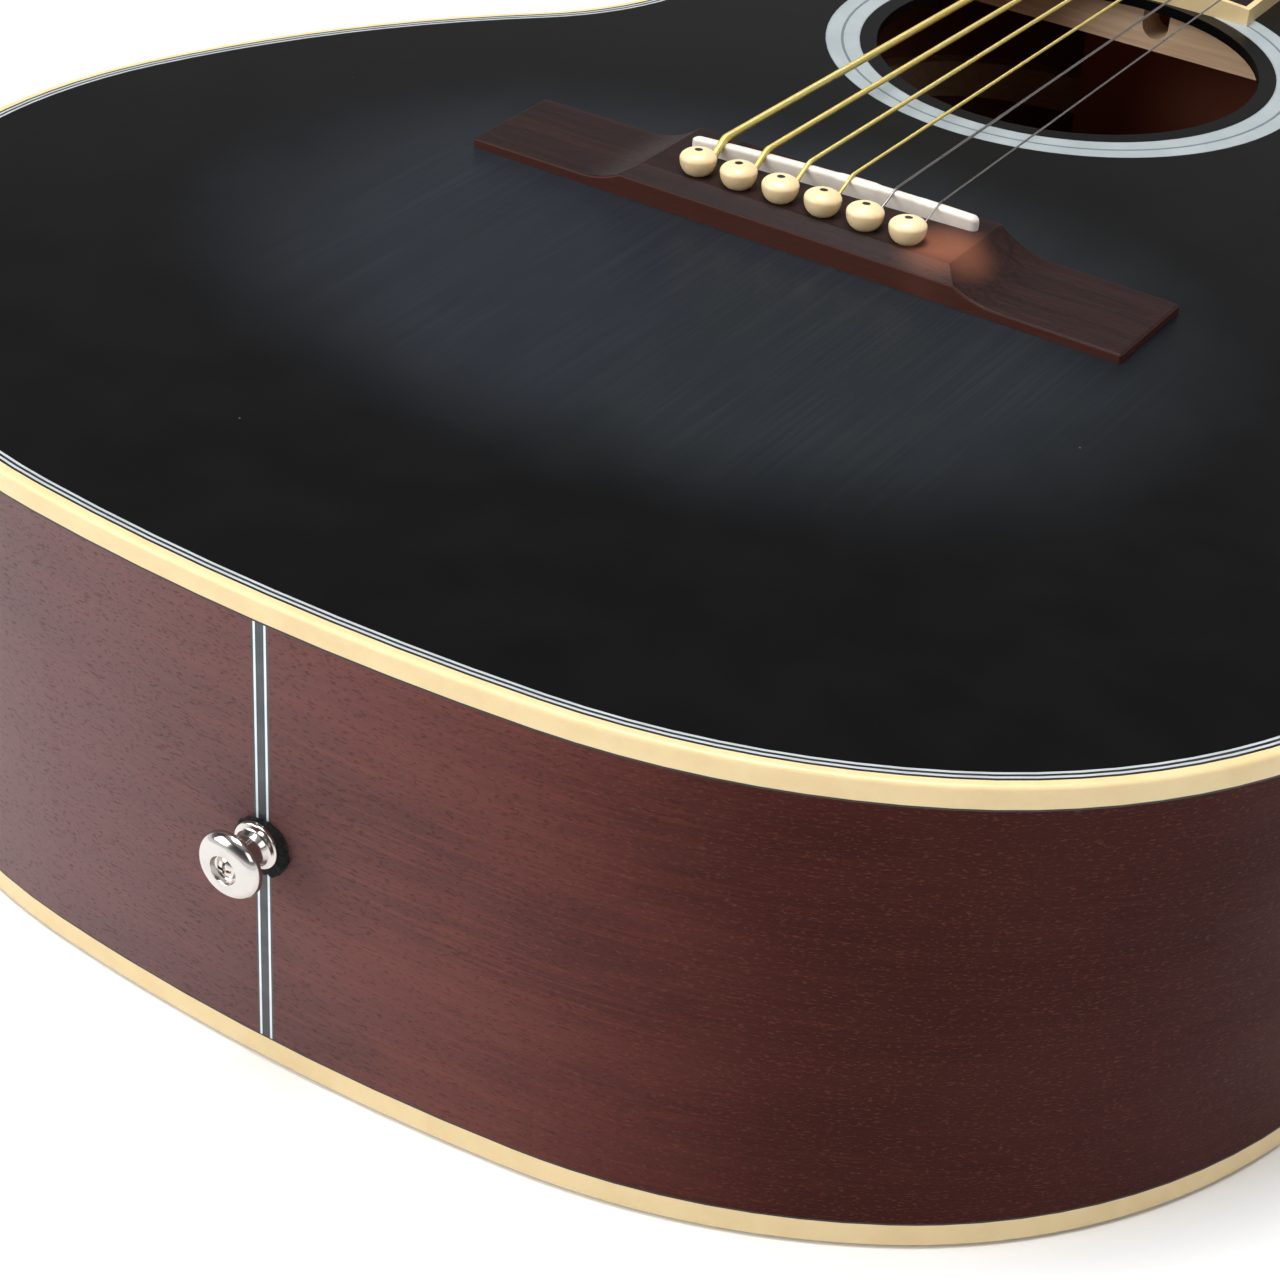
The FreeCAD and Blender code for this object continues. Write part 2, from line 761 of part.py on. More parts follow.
def make_bridge():
    half = size("bridge_half_length")
    flat = size("bridge_flat_half")
    scoop = size("bridge_scoop_half")
    high, wing = size("bridge_height"), size("bridge_wing")
    back, front = -size("bridge_back"), size("bridge_front")
    body = new_body("bridge_body")
    edges = []
    for side in (-1, 1):
        top = Vector(side * flat, high, 0)
        low = Vector(side * scoop, wing, 0)
        middle = Vector(side * (flat + 0.42 * (scoop - flat)), wing + 0.30 * (high - wing), 0)
        end = Vector(side * half, wing - 0.2, 0)
        foot = Vector(side * half, 0, 0)
        edges += [Part.Arc(top, middle, low), Part.LineSegment(low, end), Part.LineSegment(end, foot)]
    edges.append(Part.LineSegment(Vector(-flat, high, 0), Vector(flat, high, 0)))
    edges.append(Part.LineSegment(Vector(-half, 0, 0), Vector(half, 0, 0)))
    pad(body, "XZ_Plane", edges, front - back, offset=at(-back), both=False, back=True)
    bevel_start, bevel_drop, clear = -3.9, 2.6, 3.0
    hollow = Part.Arc(Vector(bevel_start, high, 0), Vector(-6.4, high - 1.6, 0),
                      Vector(back, high - bevel_drop, 0))
    bevel = [hollow] + polygon_open([(back, high - bevel_drop), (back - clear, high - bevel_drop),
                                     (back - clear, high + clear), (bevel_start, high + clear),
                                     (bevel_start, high)])
    cut(body, "YZ_Plane", bevel)
    round_edges(body, 0.6, lambda edge: edge_middle(edge).z > 0.5)
    cut(body, "XY_Plane", pin_holes(STRING_RAMP_END))
    cut(body, "XY_Plane", saddle_outline(FIT), "sizes.saddle_slot_depth",
        offset=saddle_place(high), both=False)
    node(body, "bridge")


SADDLE_ARCH = 800.0  # radius of the saddle's top line


def saddle_outline(clearance=0.0):
    """Straight-sided strip with rounded ends, along its own X."""
    radius = size("saddle_thickness") / 2 + clearance
    reach = size("saddle_half_length") - size("saddle_thickness") / 2
    return [Part.LineSegment(Vector(-reach, -radius, 0), Vector(reach, -radius, 0)),
            Part.Arc(Vector(reach, -radius, 0), Vector(reach + radius, 0, 0), Vector(reach, radius, 0)),
            Part.LineSegment(Vector(reach, radius, 0), Vector(-reach, radius, 0)),
            Part.Arc(Vector(-reach, radius, 0), Vector(-reach - radius, 0, 0), Vector(-reach, -radius, 0))]


def saddle_place(height):
    x = size("saddle_offset")
    return Placement(Vector(x, saddle_y(x), height), Rotation(Vector(0, 0, 1), size("saddle_slant")))


def saddle_y(x):
    return size("saddle_centre") + x * math.tan(math.radians(size("saddle_slant")))


def saddle_crown(x):
    """Height of the saddle's top at X: a shallow arch."""
    return size("saddle_top") - x ** 2 / (2 * SADDLE_ARCH)


def make_saddle():
    body = new_body("saddle_body")
    bottom = size("bridge_height") - size("saddle_slot_depth")
    pad(body, "XY_Plane", saddle_outline(), size("saddle_top") + 1 - bottom, offset=saddle_place(bottom))
    reach = size("saddle_half_length") + 5
    crown = Part.Arc(Vector(-reach, saddle_crown(reach), 0), Vector(0, saddle_crown(0), 0),
                     Vector(reach, saddle_crown(reach), 0))
    lid = size("saddle_top") + 4
    cut(body, "XZ_Plane", [crown,
                           Part.LineSegment(crown.EndPoint, Vector(reach, lid, 0)),
                           Part.LineSegment(Vector(reach, lid, 0), Vector(-reach, lid, 0)),
                           Part.LineSegment(Vector(-reach, lid, 0), crown.StartPoint)])
    round_edges(body, 0.9, lambda edge: edge.BoundBox.XLength > 40
                and edge_middle(edge).z > size("bridge_height"))
    node(body, "saddle")


PIN_SHANK = 2.45
PIN_END = -15.0


def make_pins():
    head, rise = size("pin_head_radius"), size("pin_head_rise")
    centre, top = size("pin_head_centre"), size("bridge_height")
    dot, depth = size("pin_dot_radius"), 1.0
    foot = 3.0
    crest = centre + rise
    rim = crest - 0.06
    floor = crest - depth
    body = new_body("bridge_pin_row")
    edges = polygon_open([(0, PIN_END), (1.7, PIN_END), (2.0, PIN_END + 1.2), (PIN_SHANK, top), (foot, top)])
    edges.append(Part.Arc(Vector(foot, top, 0), Vector(head - 0.32, centre - 1.7, 0), Vector(head, centre, 0)))
    edges.append(Part.Arc(Vector(head, centre, 0), Vector(head * 0.78, centre + rise * 0.70, 0),
                          Vector(dot, rim, 0)))
    edges += polygon_open([(dot, rim), (dot, floor), (0, floor), (0, PIN_END)])
    pin = revolve(body, "XZ_Plane", edges)
    row_of_six(body, pin)
    body.Placement = Placement(Vector(pin_x(0), 0, 0), Rotation())
    node(body, "bridge_pins", Placement(Vector(pin_x(0), 0, 0), Rotation()))

    dots = new_body("pin_dot_row")
    crown = Part.Arc(Vector(0, crest + 0.05, 0), Vector(dot * 0.6, crest, 0), Vector(dot, rim, 0))
    shape = [crown] + polygon_open([(dot, rim), (dot, floor), (0, floor), (0, crest + 0.05)])
    dot_feature = revolve(dots, "XZ_Plane", shape)
    row_of_six(dots, dot_feature)
    node(dots, "bridge_pin_dots", Placement(Vector(pin_x(0), 0, 0), Rotation()))


def polygon_open(points):
    corners = [Vector(x, y, 0) for x, y in points]
    return [Part.LineSegment(a, b) for a, b in zip(corners, corners[1:])]


def row_of_six(body, feature):
    """Repeat a feature six times at the pin spacing along X."""
    pattern = body.newObject("PartDesign::LinearPattern", body.Name + "_pattern")
    pattern.Originals = [feature]
    pattern.Direction = (feature.Profile[0], ["H_Axis"])
    pattern.setExpression("Length", "5 * sizes.pin_spacing")
    pattern.Occurrences = 6
    body.Tip = pattern


# ---------------------------------------------------------------- strap button

STRAP_BORE = 2.05


def make_strap_button():
    """Mushroom button, its screw and the felt washer, turned about the screw's axis.

    Each profile is drawn with X as the distance out from the tail and Y as the radius.
    """
    place = Placement(Vector(0, TAIL_Y, size("strap_height")), Rotation(Vector(0, 0, 1), -90))
    felt, length, head = size("felt_thickness"), size("strap_length"), size("strap_head_radius")

    washer = new_body("felt_body")
    revolve(washer, "XY_Plane", polygon([(0, STRAP_BORE), (0, size("felt_radius")),
                                         (felt, size("felt_radius")), (felt, STRAP_BORE)]), axis="H_Axis")
    round_edges(washer, 0.4, lambda edge: abs(edge_middle(edge).x - felt) < 1e-6 and
                edge.Length > 25)
    node(washer, "strap_button_felt", place)

    button = new_body("strap_button_body")
    neck_radius, base_radius, dish_radius = 3.5, 5.2, 3.9
    dish = length - 2.2
    edges = polygon_open([(length - 0.5, dish_radius), (dish, dish_radius - 0.7), (dish, STRAP_BORE),
                          (felt, STRAP_BORE), (felt, base_radius), (felt + 1.6, base_radius)])
    edges.append(Part.Arc(Vector(felt + 1.6, base_radius, 0), Vector(felt + 3.1, neck_radius, 0),
                          Vector(felt + 6.0, neck_radius + 0.6, 0)))
    edges.append(Part.Arc(Vector(felt + 6.0, neck_radius + 0.6, 0), Vector(felt + 7.6, 5.6, 0),
                          Vector(felt + 8.4, head, 0)))
    edges.append(Part.Arc(Vector(felt + 8.4, head, 0), Vector(length - 0.55, head - 1.2, 0),
                          Vector(length - 0.5, dish_radius, 0)))
    revolve(button, "XY_Plane", edges, axis="H_Axis")
    node(button, "strap_button", place)

    screw = new_body("strap_screw_body")
    shank, tip, head_rim = STRAP_BORE - FIT, -24.0, 2.9
    seat = dish + 0.02
    edges = polygon_open([(seat + 1.5, 0), (tip, 0), (tip + 3.5, shank - 0.3), (tip + 5, shank),
                          (seat, shank), (seat, head_rim)])
    edges.append(Part.Arc(Vector(seat, head_rim, 0), Vector(seat + 1.15, head_rim * 0.62, 0),
                          Vector(seat + 1.5, 0, 0)))
    revolve(screw, "XY_Plane", edges, axis="H_Axis")
    arm, slot = 1.7, 0.35
    cross = polygon([(-arm, -slot), (-slot, -slot), (-slot, -arm), (slot, -arm), (slot, -slot),
                     (arm, -slot), (arm, slot), (slot, slot), (slot, arm), (-slot, arm), (-slot, slot),
                     (-arm, slot)])
    cut(screw, "YZ_Plane", cross, length=1.2, offset=at(seat + 1.6), both=False)
    node(screw, "strap_button_screw", place)


# ---------------------------------------------------------------- neck

ROD_END = NUT_Y - 12.0


def bow(half, depth, top=0.0):
    """Closed section: a straight top edge and a rounded underside of the given depth."""
    pull = depth / 0.75
    curve = Part.BSplineCurve()
    curve.buildFromPolesMultsKnots(
        [Vector(-half, top, 0), Vector(-half, top - pull, 0), Vector(half, top - pull, 0),
         Vector(half, top, 0)], [4, 4], [0.0, 1.0], False, 3)
    return [curve, Part.LineSegment(Vector(half, top, 0), Vector(-half, top, 0))]


def make_neck():
    body = new_body("neck_body")
    sections = []
    for y, depth in ((JOINT_Y, size("shaft_depth_at_heel")), (NUT_Y, size("shaft_depth_at_nut")),
                     (HEAD_START, size("shaft_depth_at_nut"))):
        sections.append(add_sketch(body, "XZ_Plane", bow(board_half(min(y, NUT_Y)), depth), at(-y)))
    loft(body, sections)
    # heel: rounded sections that narrow towards the back
    heel = []
    for height, half, reach in ((-4.0, 26.5, 60.0), (-14.0, 25.0, 46.0), (-32.0, 20.5, 31.0),
                                (-56.0, 15.0, 23.5), (-size("heel_bottom"), 12.5, 20.0)):
        edges = bow(half, reach)
        turned = [turn_edge(edge) for edge in edges]
        heel.append(add_sketch(body, "XY_Plane", turned, at(height)))
    loft(body, heel)
    pad(body, "XY_Plane", tenon_outline(), "sizes.tenon_depth", back=True)
    head_pad(body, -size("head_thickness"), size("head_thickness"))
    rod_channel(body)
    post_holes(body)
    pilot_holes(body)
    node(body, "neck")


def turn_edge(edge):
    """Section drawn downwards becomes a heel section that reaches away from the body."""
    if isinstance(edge, Part.LineSegment):
        return Part.LineSegment(Vector(edge.StartPoint.x, JOINT_Y - edge.StartPoint.y, 0),
                                Vector(edge.EndPoint.x, JOINT_Y - edge.EndPoint.y, 0))
    poles = [Vector(pole.x, JOINT_Y - pole.y, 0) for pole in edge.getPoles()]
    curve = Part.BSplineCurve()
    curve.buildFromPolesMultsKnots(poles, [4, 4], [0.0, 1.0], False, 3)
    return curve


def head_outline():
    """Plain paddle headstock: a waisted throat, straight flared edges and a low arched top."""
    throat, shoulder, wide, side_end, crown = 21.5, 29.0, 35.0, 166.0, 176.0
    treble = [Part.LineSegment(Vector(throat, 0, 0), Vector(throat, 5, 0)),
              Part.Arc(Vector(throat, 5, 0), Vector(throat + 1.8, 14, 0), Vector(shoulder, 24, 0)),
              Part.LineSegment(Vector(shoulder, 24, 0), Vector(wide, side_end, 0))]
    bass = [mirror_edge(edge) for edge in treble]
    top = Part.Arc(Vector(wide, side_end, 0), Vector(0, crown, 0), Vector(-wide, side_end, 0))
    return treble + bass + [top, Part.LineSegment(Vector(throat, 0, 0), Vector(-throat, 0, 0))]


def head_pad(body, low, thickness):
    place = HEAD_FRAME.multiply(Placement(Vector(0, 0, low), Rotation()))
    return pad(body, "XY_Plane", head_outline(), thickness, offset=place)


def post_places():
    """Post centres in the headstock frame, string 1 to 6: bass side 6, 5, 4 and treble 1, 2, 3."""
    places = {}
    for row in range(3):
        y = size("first_post") + row * size("post_step")
        places[6 - row] = (-1, Vector(-size("post_across"), y, 0))
        places[1 + row] = (1, Vector(size("post_across"), y, 0))
    return places


BUSH_RADIUS = 4.6
SCREW_SPOTS = ((0.0, -9.8), (0.0, 13.4))
PLATE_HALF = 8.0
PLATE_LOW, PLATE_HIGH = -12.4, 16.0
PILOT = 1.1


def post_holes(body):
    """Round holes for the posts, right through the headstock."""
    holes = []
    for _, centre in post_places().values():
        holes += circle(centre.x, centre.y, BUSH_RADIUS)
    cut(body, "XY_Plane", holes, length=80.0, offset=HEAD_FRAME, both=True)


def pilot_holes(body):
    """Blind holes from behind the headstock for the tuner screws."""
    pilots = []
    for _, centre in post_places().values():
        for x, y in SCREW_SPOTS:
            pilots += circle(centre.x + x, centre.y + y, PILOT)
    behind = HEAD_FRAME.multiply(Placement(Vector(0, 0, -size("head_thickness") - 1), Rotation()))
    cut(body, "XY_Plane", pilots, length=11.0, offset=behind, both=False, back=True)


def make_veneer():
    body = new_body("veneer_body")
    head_pad(body, 0, "sizes.head_veneer")
    post_holes(body)
    node(body, "headstock_plate")


def make_heel_cap():
    body = new_body("heel_cap_body")
    edges = [turn_edge(edge) for edge in bow(12.5, 20.0)]
    pad(body, "XY_Plane", edges, "sizes.heel_cap_thickness", offset=at(-size("heel_bottom")), back=True)
    round_edges(body, 0.8, lambda edge: edge_middle(edge).z < -size("heel_bottom") - 2.9
                and edge.Length > 30)
    node(body, "heel_cap")


def make_truss_rod():
    body = new_body("truss_rod_body")
    half, low, high = size("rod_half_width"), -size("rod_bottom"), -size("rod_top")
    length = ROD_END - 1 - NECK_BLOCK_INSIDE
    pad(body, "XZ_Plane", rectangle(-half, low, half, high), length,
        offset=at(-NECK_BLOCK_INSIDE), back=True)
    middle = (low + high) / 2
    pad(body, "XZ_Plane", circle(0, middle, 3.4), 15.0, offset=at(-NECK_BLOCK_INSIDE), both=False)
    corners = [(2.3 * math.cos(math.radians(60 * i)), middle + 2.3 * math.sin(math.radians(60 * i)))
               for i in range(6)]
    cut(body, "XZ_Plane", polygon(corners), length=8.0, offset=at(-NECK_BLOCK_INSIDE + 15), both=False)
    node(body, "truss_rod")


# ---------------------------------------------------------------- fretboard, frets and nut

def board_outline(inset, end_inset):
    start, finish = size("board_end") + end_inset, NUT_Y
    near, far = board_half(start) - inset, board_half(finish) - inset
    return polygon([(-near, start), (near, start), (far, finish), (-far, finish)])


def radius_top(body, height=size("board_thickness")):
    """Shape the top to the fretboard's cylinder."""
    wide, radius = 40.0, size("board_radius")
    drop = radius - math.sqrt(radius ** 2 - wide ** 2)
    lid = height + 5
    edges = [Part.Arc(Vector(-wide, height - drop, 0), Vector(0, height, 0), Vector(wide, height - drop, 0)),
             Part.LineSegment(Vector(wide, height - drop, 0), Vector(wide, lid, 0)),
             Part.LineSegment(Vector(wide, lid, 0), Vector(-wide, lid, 0)),
             Part.LineSegment(Vector(-wide, lid, 0), Vector(-wide, height - drop, 0))]
    cut(body, "XZ_Plane", edges)


FRET_AXIS = Placement(Vector(0, size("board_thickness") - size("board_radius"), 0), Rotation())


def fret_profiles(slot=False):
    """Cross-sections along the neck, with Y measured from the axis of the fretboard's cylinder."""
    radius = size("board_radius")
    half_tang = size("tang_width") / 2 + (0.01 if slot else 0)
    low = radius - size("tang_depth") - (0.05 if slot else 0)
    half, high = size("fret_width") / 2, radius + size("fret_height")
    edges = []
    for number in range(1, int(size("fret_count")) + 1):
        y = fret_y(number)
        if slot:
            edges += rectangle(y - half_tang, low, y + half_tang, radius + 1)
            continue
        edges += [Part.Arc(Vector(y - half, radius, 0), Vector(y, high, 0), Vector(y + half, radius, 0))]
        edges += polygon_open([(y + half, radius), (y + half_tang, radius), (y + half_tang, low),
                               (y - half_tang, low), (y - half_tang, radius), (y - half, radius)])
    return edges


FRET_SWEEP = 14.0
MARKER_RADIUS = 3.0
MARKER_DEPTH = 1.4


def marker_circles():
    edges = []
    for number in MARKER_FRETS:
        y = (fret_y(number) + fret_y(number - 1)) / 2
        offsets = (-10.0, 10.0) if number == 12 else (0.0,)
        for x in offsets:
            edges += circle(x, y, MARKER_RADIUS)
    return edges


def make_fretboard():
    inset = size("board_binding")
    board = new_body("fretboard_body")
    pad(board, "XY_Plane", board_outline(inset, inset), "sizes.board_thickness")
    radius_top(board)
    doc.recompute()
    revolve(board, "YZ_Plane", fret_profiles(slot=True), axis="H_Axis", angle=FRET_SWEEP,
            offset=FRET_AXIS, groove=True, both=True)
    cut(board, "XY_Plane", marker_circles(), MARKER_DEPTH, offset=at(size("board_thickness")), both=False)
    node(board, "fretboard")

    edging = new_body("board_binding_body")
    start, finish = size("board_end"), NUT_Y
    near, far = board_half(start), board_half(finish)
    inner_near = board_half(start + inset) - inset
    edges = polygon([(-near, start), (near, start), (far, finish), (far - inset, finish),
                     (inner_near, start + inset), (-inner_near, start + inset),
                     (-far + inset, finish), (-far, finish)])
    pad(edging, "XY_Plane", edges, "sizes.board_thickness")
    radius_top(edging)
    node(edging, "fretboard_binding")

    frets = new_body("frets_body")
    revolve(frets, "YZ_Plane", fret_profiles(), axis="H_Axis", angle=FRET_SWEEP, offset=FRET_AXIS, both=True)
    trim = rectangle(-80, 100, 80, 700) + board_outline(inset + 0.02, inset + 0.02)
    cut(frets, "XY_Plane", trim)
    node(frets, "frets")

    dots = new_body("marker_body")
    pad(dots, "XY_Plane", marker_circles(), MARKER_DEPTH + 2, offset=at(size("board_thickness") - MARKER_DEPTH))
    radius_top(dots)
    node(dots, "fret_markers")


STRING_RISE = 1.35  # string underside over the fretboard at the nut


def nut_x(index):
    return (index - 2.5) * 7.1


def nut_slot(x):
    """Height of the bottom of the string slot at X."""
    return size("board_thickness") - x ** 2 / (2 * size("board_radius")) + STRING_RISE


def make_nut():
    half = size("board_half_at_nut")
    height, thickness = size("nut_height"), size("nut_thickness")
    body = new_body("nut_body")
    edges = [Part.Arc(Vector(-half, height - 1.0, 0), Vector(0, height, 0), Vector(half, height - 1.0, 0))]
    edges += polygon_open([(half, height - 1.0), (half, 0), (-half, 0), (-half, height - 1.0)])
    pad(body, "XZ_Plane", edges, "sizes.nut_thickness", offset=at(-NUT_Y - FIT), back=True)
    round_edges(body, 0.7, lambda edge: edge_middle(edge).z > 3 and
                edge_middle(edge).y > NUT_Y + thickness / 2)
    slots = []
    for index, diameter in enumerate(STRING_DIAMETERS):
        x, low = nut_x(index), nut_slot(nut_x(index))
        wide = diameter / 2 + 0.06
        slots += rectangle(x - wide, low, x + wide, height + 2)
    cut(body, "XZ_Plane", slots)
    node(body, "nut")


# ---------------------------------------------------------------- strings

SADDLE_LIFT = 0.42  # room under each string for its bend over the saddle
STRING_BENDS = (1.6, 3.0, 5.0)  # radius of the bend at the pin, the saddle and the nut


def string_route(index):
    """Corners of a string's centre line from its ball end to its post."""
    radius = STRING_DIAMETERS[index] / 2
    x = pin_x(index)
    slot_y = PIN_SHANK + 0.12 + radius
    side, centre = post_places()[6 - index]
    reach = size("post_radius") + radius + 0.25
    post = centre + Vector(-side * reach, 0, size("string_on_post"))
    return [Vector(x, slot_y, BALL_Z),
            Vector(x, slot_y, size("bridge_height") - 0.5),
            Vector(x, saddle_y(x), saddle_crown(x) + radius + SADDLE_LIFT),
            Vector(nut_x(index), HEAD_START, nut_slot(nut_x(index)) + radius),
            HEAD_FRAME.multVec(post)]


BALL_Z = -8.0
BALL_RADIUS = 2.0
BALL_WIDTH = 3.0


def bent_tube(route, bends, radius):
    """Round wire along straight runs joined by tangent arcs."""
    edges = []
    start = route[0]
    for before, corner, after, bend in zip(route, route[1:], route[2:], bends):
        back = (before - corner).normalize()
        onward = (after - corner).normalize()
        half = back.getAngle(onward) / 2
        setback = bend / math.tan(half)
        middle = corner + (back + onward).normalize() * (bend / math.sin(half) - bend)
        leave, join_again = corner + back * setback, corner + onward * setback
        edges.append(Part.makeLine(start, leave))
        edges.append(Part.Arc(leave, middle, join_again).toShape())
        start = join_again
    edges.append(Part.makeLine(start, route[-1]))
    section = Part.Wire([Part.makeCircle(radius, route[0], route[1] - route[0])])
    return Part.Wire(edges).makePipeShell([section], True, False)


def make_strings():
    for index in range(6):
        radius = STRING_DIAMETERS[index] / 2
        wire = bent_tube(string_route(index), STRING_BENDS, radius)
        ball = Vector(pin_x(index) - BALL_WIDTH / 2, PIN_SHANK + BALL_RADIUS + 0.2, BALL_Z)
        end = Part.makeCylinder(BALL_RADIUS, BALL_WIDTH, ball, Vector(1, 0, 0))
        item = doc.addObject("Part::Feature", f"string_{6 - index}_shape")
        item.Shape = wire.fuse(end).Solids[0]
        node(item, f"string_{6 - index}")


# ---------------------------------------------------------------- tuners
#
# Each unit is drawn round its post's axis in the headstock frame; X points to the button on the
# treble side and the bass side is its mirror image, with a left-hand worm.

GEAR_Z = -size("worm_axis_depth")
PITCH = 2 * math.pi * size("gear_pitch_radius") / size("gear_teeth")
AXES_APART = size("gear_pitch_radius") + size("worm_pitch_radius")
PLATE_BACK = -size("head_thickness") - size("plate_gauge")
THREAD_TURNS = 4
THREAD_TOP, THREAD_ROOT = 3.0, 1.8
EAR_IN, EAR_OUT = 6.2, 7.4


def make_tuner_plates():
    plates = []
    for number, (side, centre) in sorted(post_places().items()):
        body = new_body(f"plate_{number}")
        radius = size("post_radius") + FIT
        edges = rectangle(-PLATE_HALF, PLATE_LOW, PLATE_HALF, PLATE_HIGH) + circle(0, 0, radius)
        for x, y in SCREW_SPOTS:
            edges += circle(x, y, PILOT + FIT)
        pad(body, "XY_Plane", edges, "sizes.plate_gauge", offset=at(PLATE_BACK))
        ear_low = GEAR_Z - 3.0
        bore = size("worm_shaft_radius") + FIT
        for near, far in ((-EAR_OUT, -EAR_IN), (EAR_IN, EAR_OUT)):
            ear = rectangle(AXES_APART - 3.2, ear_low, AXES_APART + 3.2, PLATE_BACK)
            ear += circle(AXES_APART, GEAR_Z, bore)
            pad(body, "YZ_Plane", ear, far - near, offset=at(near))
        round_edges(body, 1.6, lambda edge: abs(edge_middle(edge).z - ear_low) < 1e-6
                    and edge.BoundBox.XLength > 0.5)
        body.Placement = Placement(centre, Rotation())
        plates.append(body)
    node(join("tuner_plates", "Compound", plates), "tuner_plates", HEAD_FRAME)


def copies(name, source, places):
    """Compound of one turned piece repeated at several places."""
    item = doc.addObject("Part::Feature", name)
    item.Shape = Part.makeCompound([source.Shape.copy().translated(place) for place in places])
    return item


def make_tuner_small_parts():
    centres = [centre for side, centre in post_places().values()]
    bush = new_body("bushing_body")
    face, flange, depth = size("head_veneer"), 1.1, 9.0
    bore = size("post_radius") + FIT
    edges = polygon([(bore, face - depth), (BUSH_RADIUS - 0.02, face - depth), (BUSH_RADIUS - 0.02, face),
                     (6.2, face), (6.2, face + 0.4), (5.2, face + flange), (bore, face + flange)])
    revolve(bush, "XZ_Plane", edges)
    screw = new_body("plate_screw_body")
    seat = PLATE_BACK
    edges = polygon_open([(0, seat + 9.5), (0.25, seat + 9.5), (PILOT - 0.05, seat + 7), (PILOT - 0.05, seat),
                          (2.0, seat)])
    edges.append(Part.Arc(Vector(2.0, seat, 0), Vector(1.35, seat - 0.85, 0), Vector(0, seat - 1.2, 0)))
    edges += polygon_open([(0, seat - 1.2), (0, seat + 9.5)])
    revolve(screw, "XZ_Plane", edges)
    cut(screw, "XY_Plane", rectangle(-3, -0.25, 3, 0.25), length=1.2, offset=at(seat - 0.5), both=False)
    doc.recompute()
    node(copies("bushings", bush, centres), "tuner_bushings", HEAD_FRAME)
    spots = [centre + Vector(x, y, 0) for centre in centres for x, y in SCREW_SPOTS]
    node(copies("plate_screws", screw, spots), "tuner_screws", HEAD_FRAME)


def make_post(number, side, centre):
    """String post with its wheel; the gaps lean by the worm's lead angle."""
    body = new_body(f"post_{number}")
    half, radius, top = size("gear_half_thickness"), size("post_radius"), size("post_top")
    shoulder, crest = PLATE_BACK - 0.1, size("gear_pitch_radius") + 0.55
    edges = polygon([(0, top), (radius - 0.7, top), (radius, top - 0.7), (radius, shoulder),
                     (4.0, shoulder), (4.0, GEAR_Z + half), (crest, GEAR_Z + half),
                     (crest, GEAR_Z - half), (2.3, GEAR_Z - half), (2.3, GEAR_Z - half - 1.0),
                     (0, GEAR_Z - half - 1.0)])
    revolve(body, "XZ_Plane", edges)
    cut(body, "YZ_Plane", circle(0, size("string_on_post"), 0.95))
    lead = math.degrees(math.atan(PITCH / (2 * math.pi * size("worm_pitch_radius"))))
    pitch_r, root = size("gear_pitch_radius"), AXES_APART - THREAD_TOP - 0.25
    gap = polygon([(-0.45, root), (-0.68, pitch_r), (-1.05, pitch_r + 1.2), (1.05, pitch_r + 1.2),
                   (0.68, pitch_r), (0.45, root)])
    lean = Placement(Vector(0, 0, GEAR_Z), Rotation(Vector(0, 1, 0), -side * lead))
    tooth_gap = cut(body, "XY_Plane", gap, length=2 * half + 1.0, offset=lean)
    wheel = body.newObject("PartDesign::PolarPattern", body.Name + "_teeth")
    wheel.Originals = [tooth_gap]
    wheel.Axis = (origin_item(body, "Z_Axis"), [""])
    wheel.Angle = 360
    wheel.setExpression("Occurrences", "sizes.gear_teeth")
    body.Tip = wheel
    slot = rectangle(-3, -0.3, 3, 0.3)
    cut(body, "XY_Plane", slot, length=0.6, offset=at(GEAR_Z - half - 1.0), both=False, back=True)
    node(body, f"string_post_{number}", HEAD_FRAME.multiply(Placement(centre, Rotation())))


def make_worm(number, side, centre):
    """Worm and its shaft along X, turned about its own axis."""
    body = new_body(f"worm_{number}")
    shaft, near = size("worm_shaft_radius"), size("button_near")
    inner = EAR_IN - 0.15
    run = [(-EAR_OUT - 1.4, 0), (-EAR_OUT - 1.4, 2.2), (-EAR_OUT - 0.15, 2.2), (-EAR_OUT - 0.15, shaft),
           (-inner, shaft), (-inner, THREAD_ROOT), (inner, THREAD_ROOT), (inner, shaft),
           (near + 6.0, shaft), (near + 6.0, 0)]
    revolve(body, "XY_Plane", polygon([(side * x, y) for x, y in run]), axis="H_Axis")
    doc.recompute()
    start = -THREAD_TURNS / 2 * PITCH
    half_root, half_tip = 0.62, 0.28
    edges = polygon([(start - half_root, -THREAD_ROOT + 0.15), (start - half_tip, -THREAD_TOP),
                     (start + half_tip, -THREAD_TOP), (start + half_root, -THREAD_ROOT + 0.15)])
    sketch = add_sketch(body, "XY_Plane", edges)
    thread = body.newObject("PartDesign::AdditiveHelix", body.Name + "_thread")
    thread.Profile = sketch
    thread.ReferenceAxis = (sketch, ["H_Axis"])
    thread.Mode = "pitch-height-angle"
    thread.Pitch = PITCH
    thread.Height = THREAD_TURNS * PITCH
    thread.LeftHanded = side < 0
    doc.recompute()
    place = Placement(centre + Vector(0, AXES_APART, GEAR_Z), Rotation())
    node(body, f"tuner_worm_{number}", HEAD_FRAME.multiply(place))


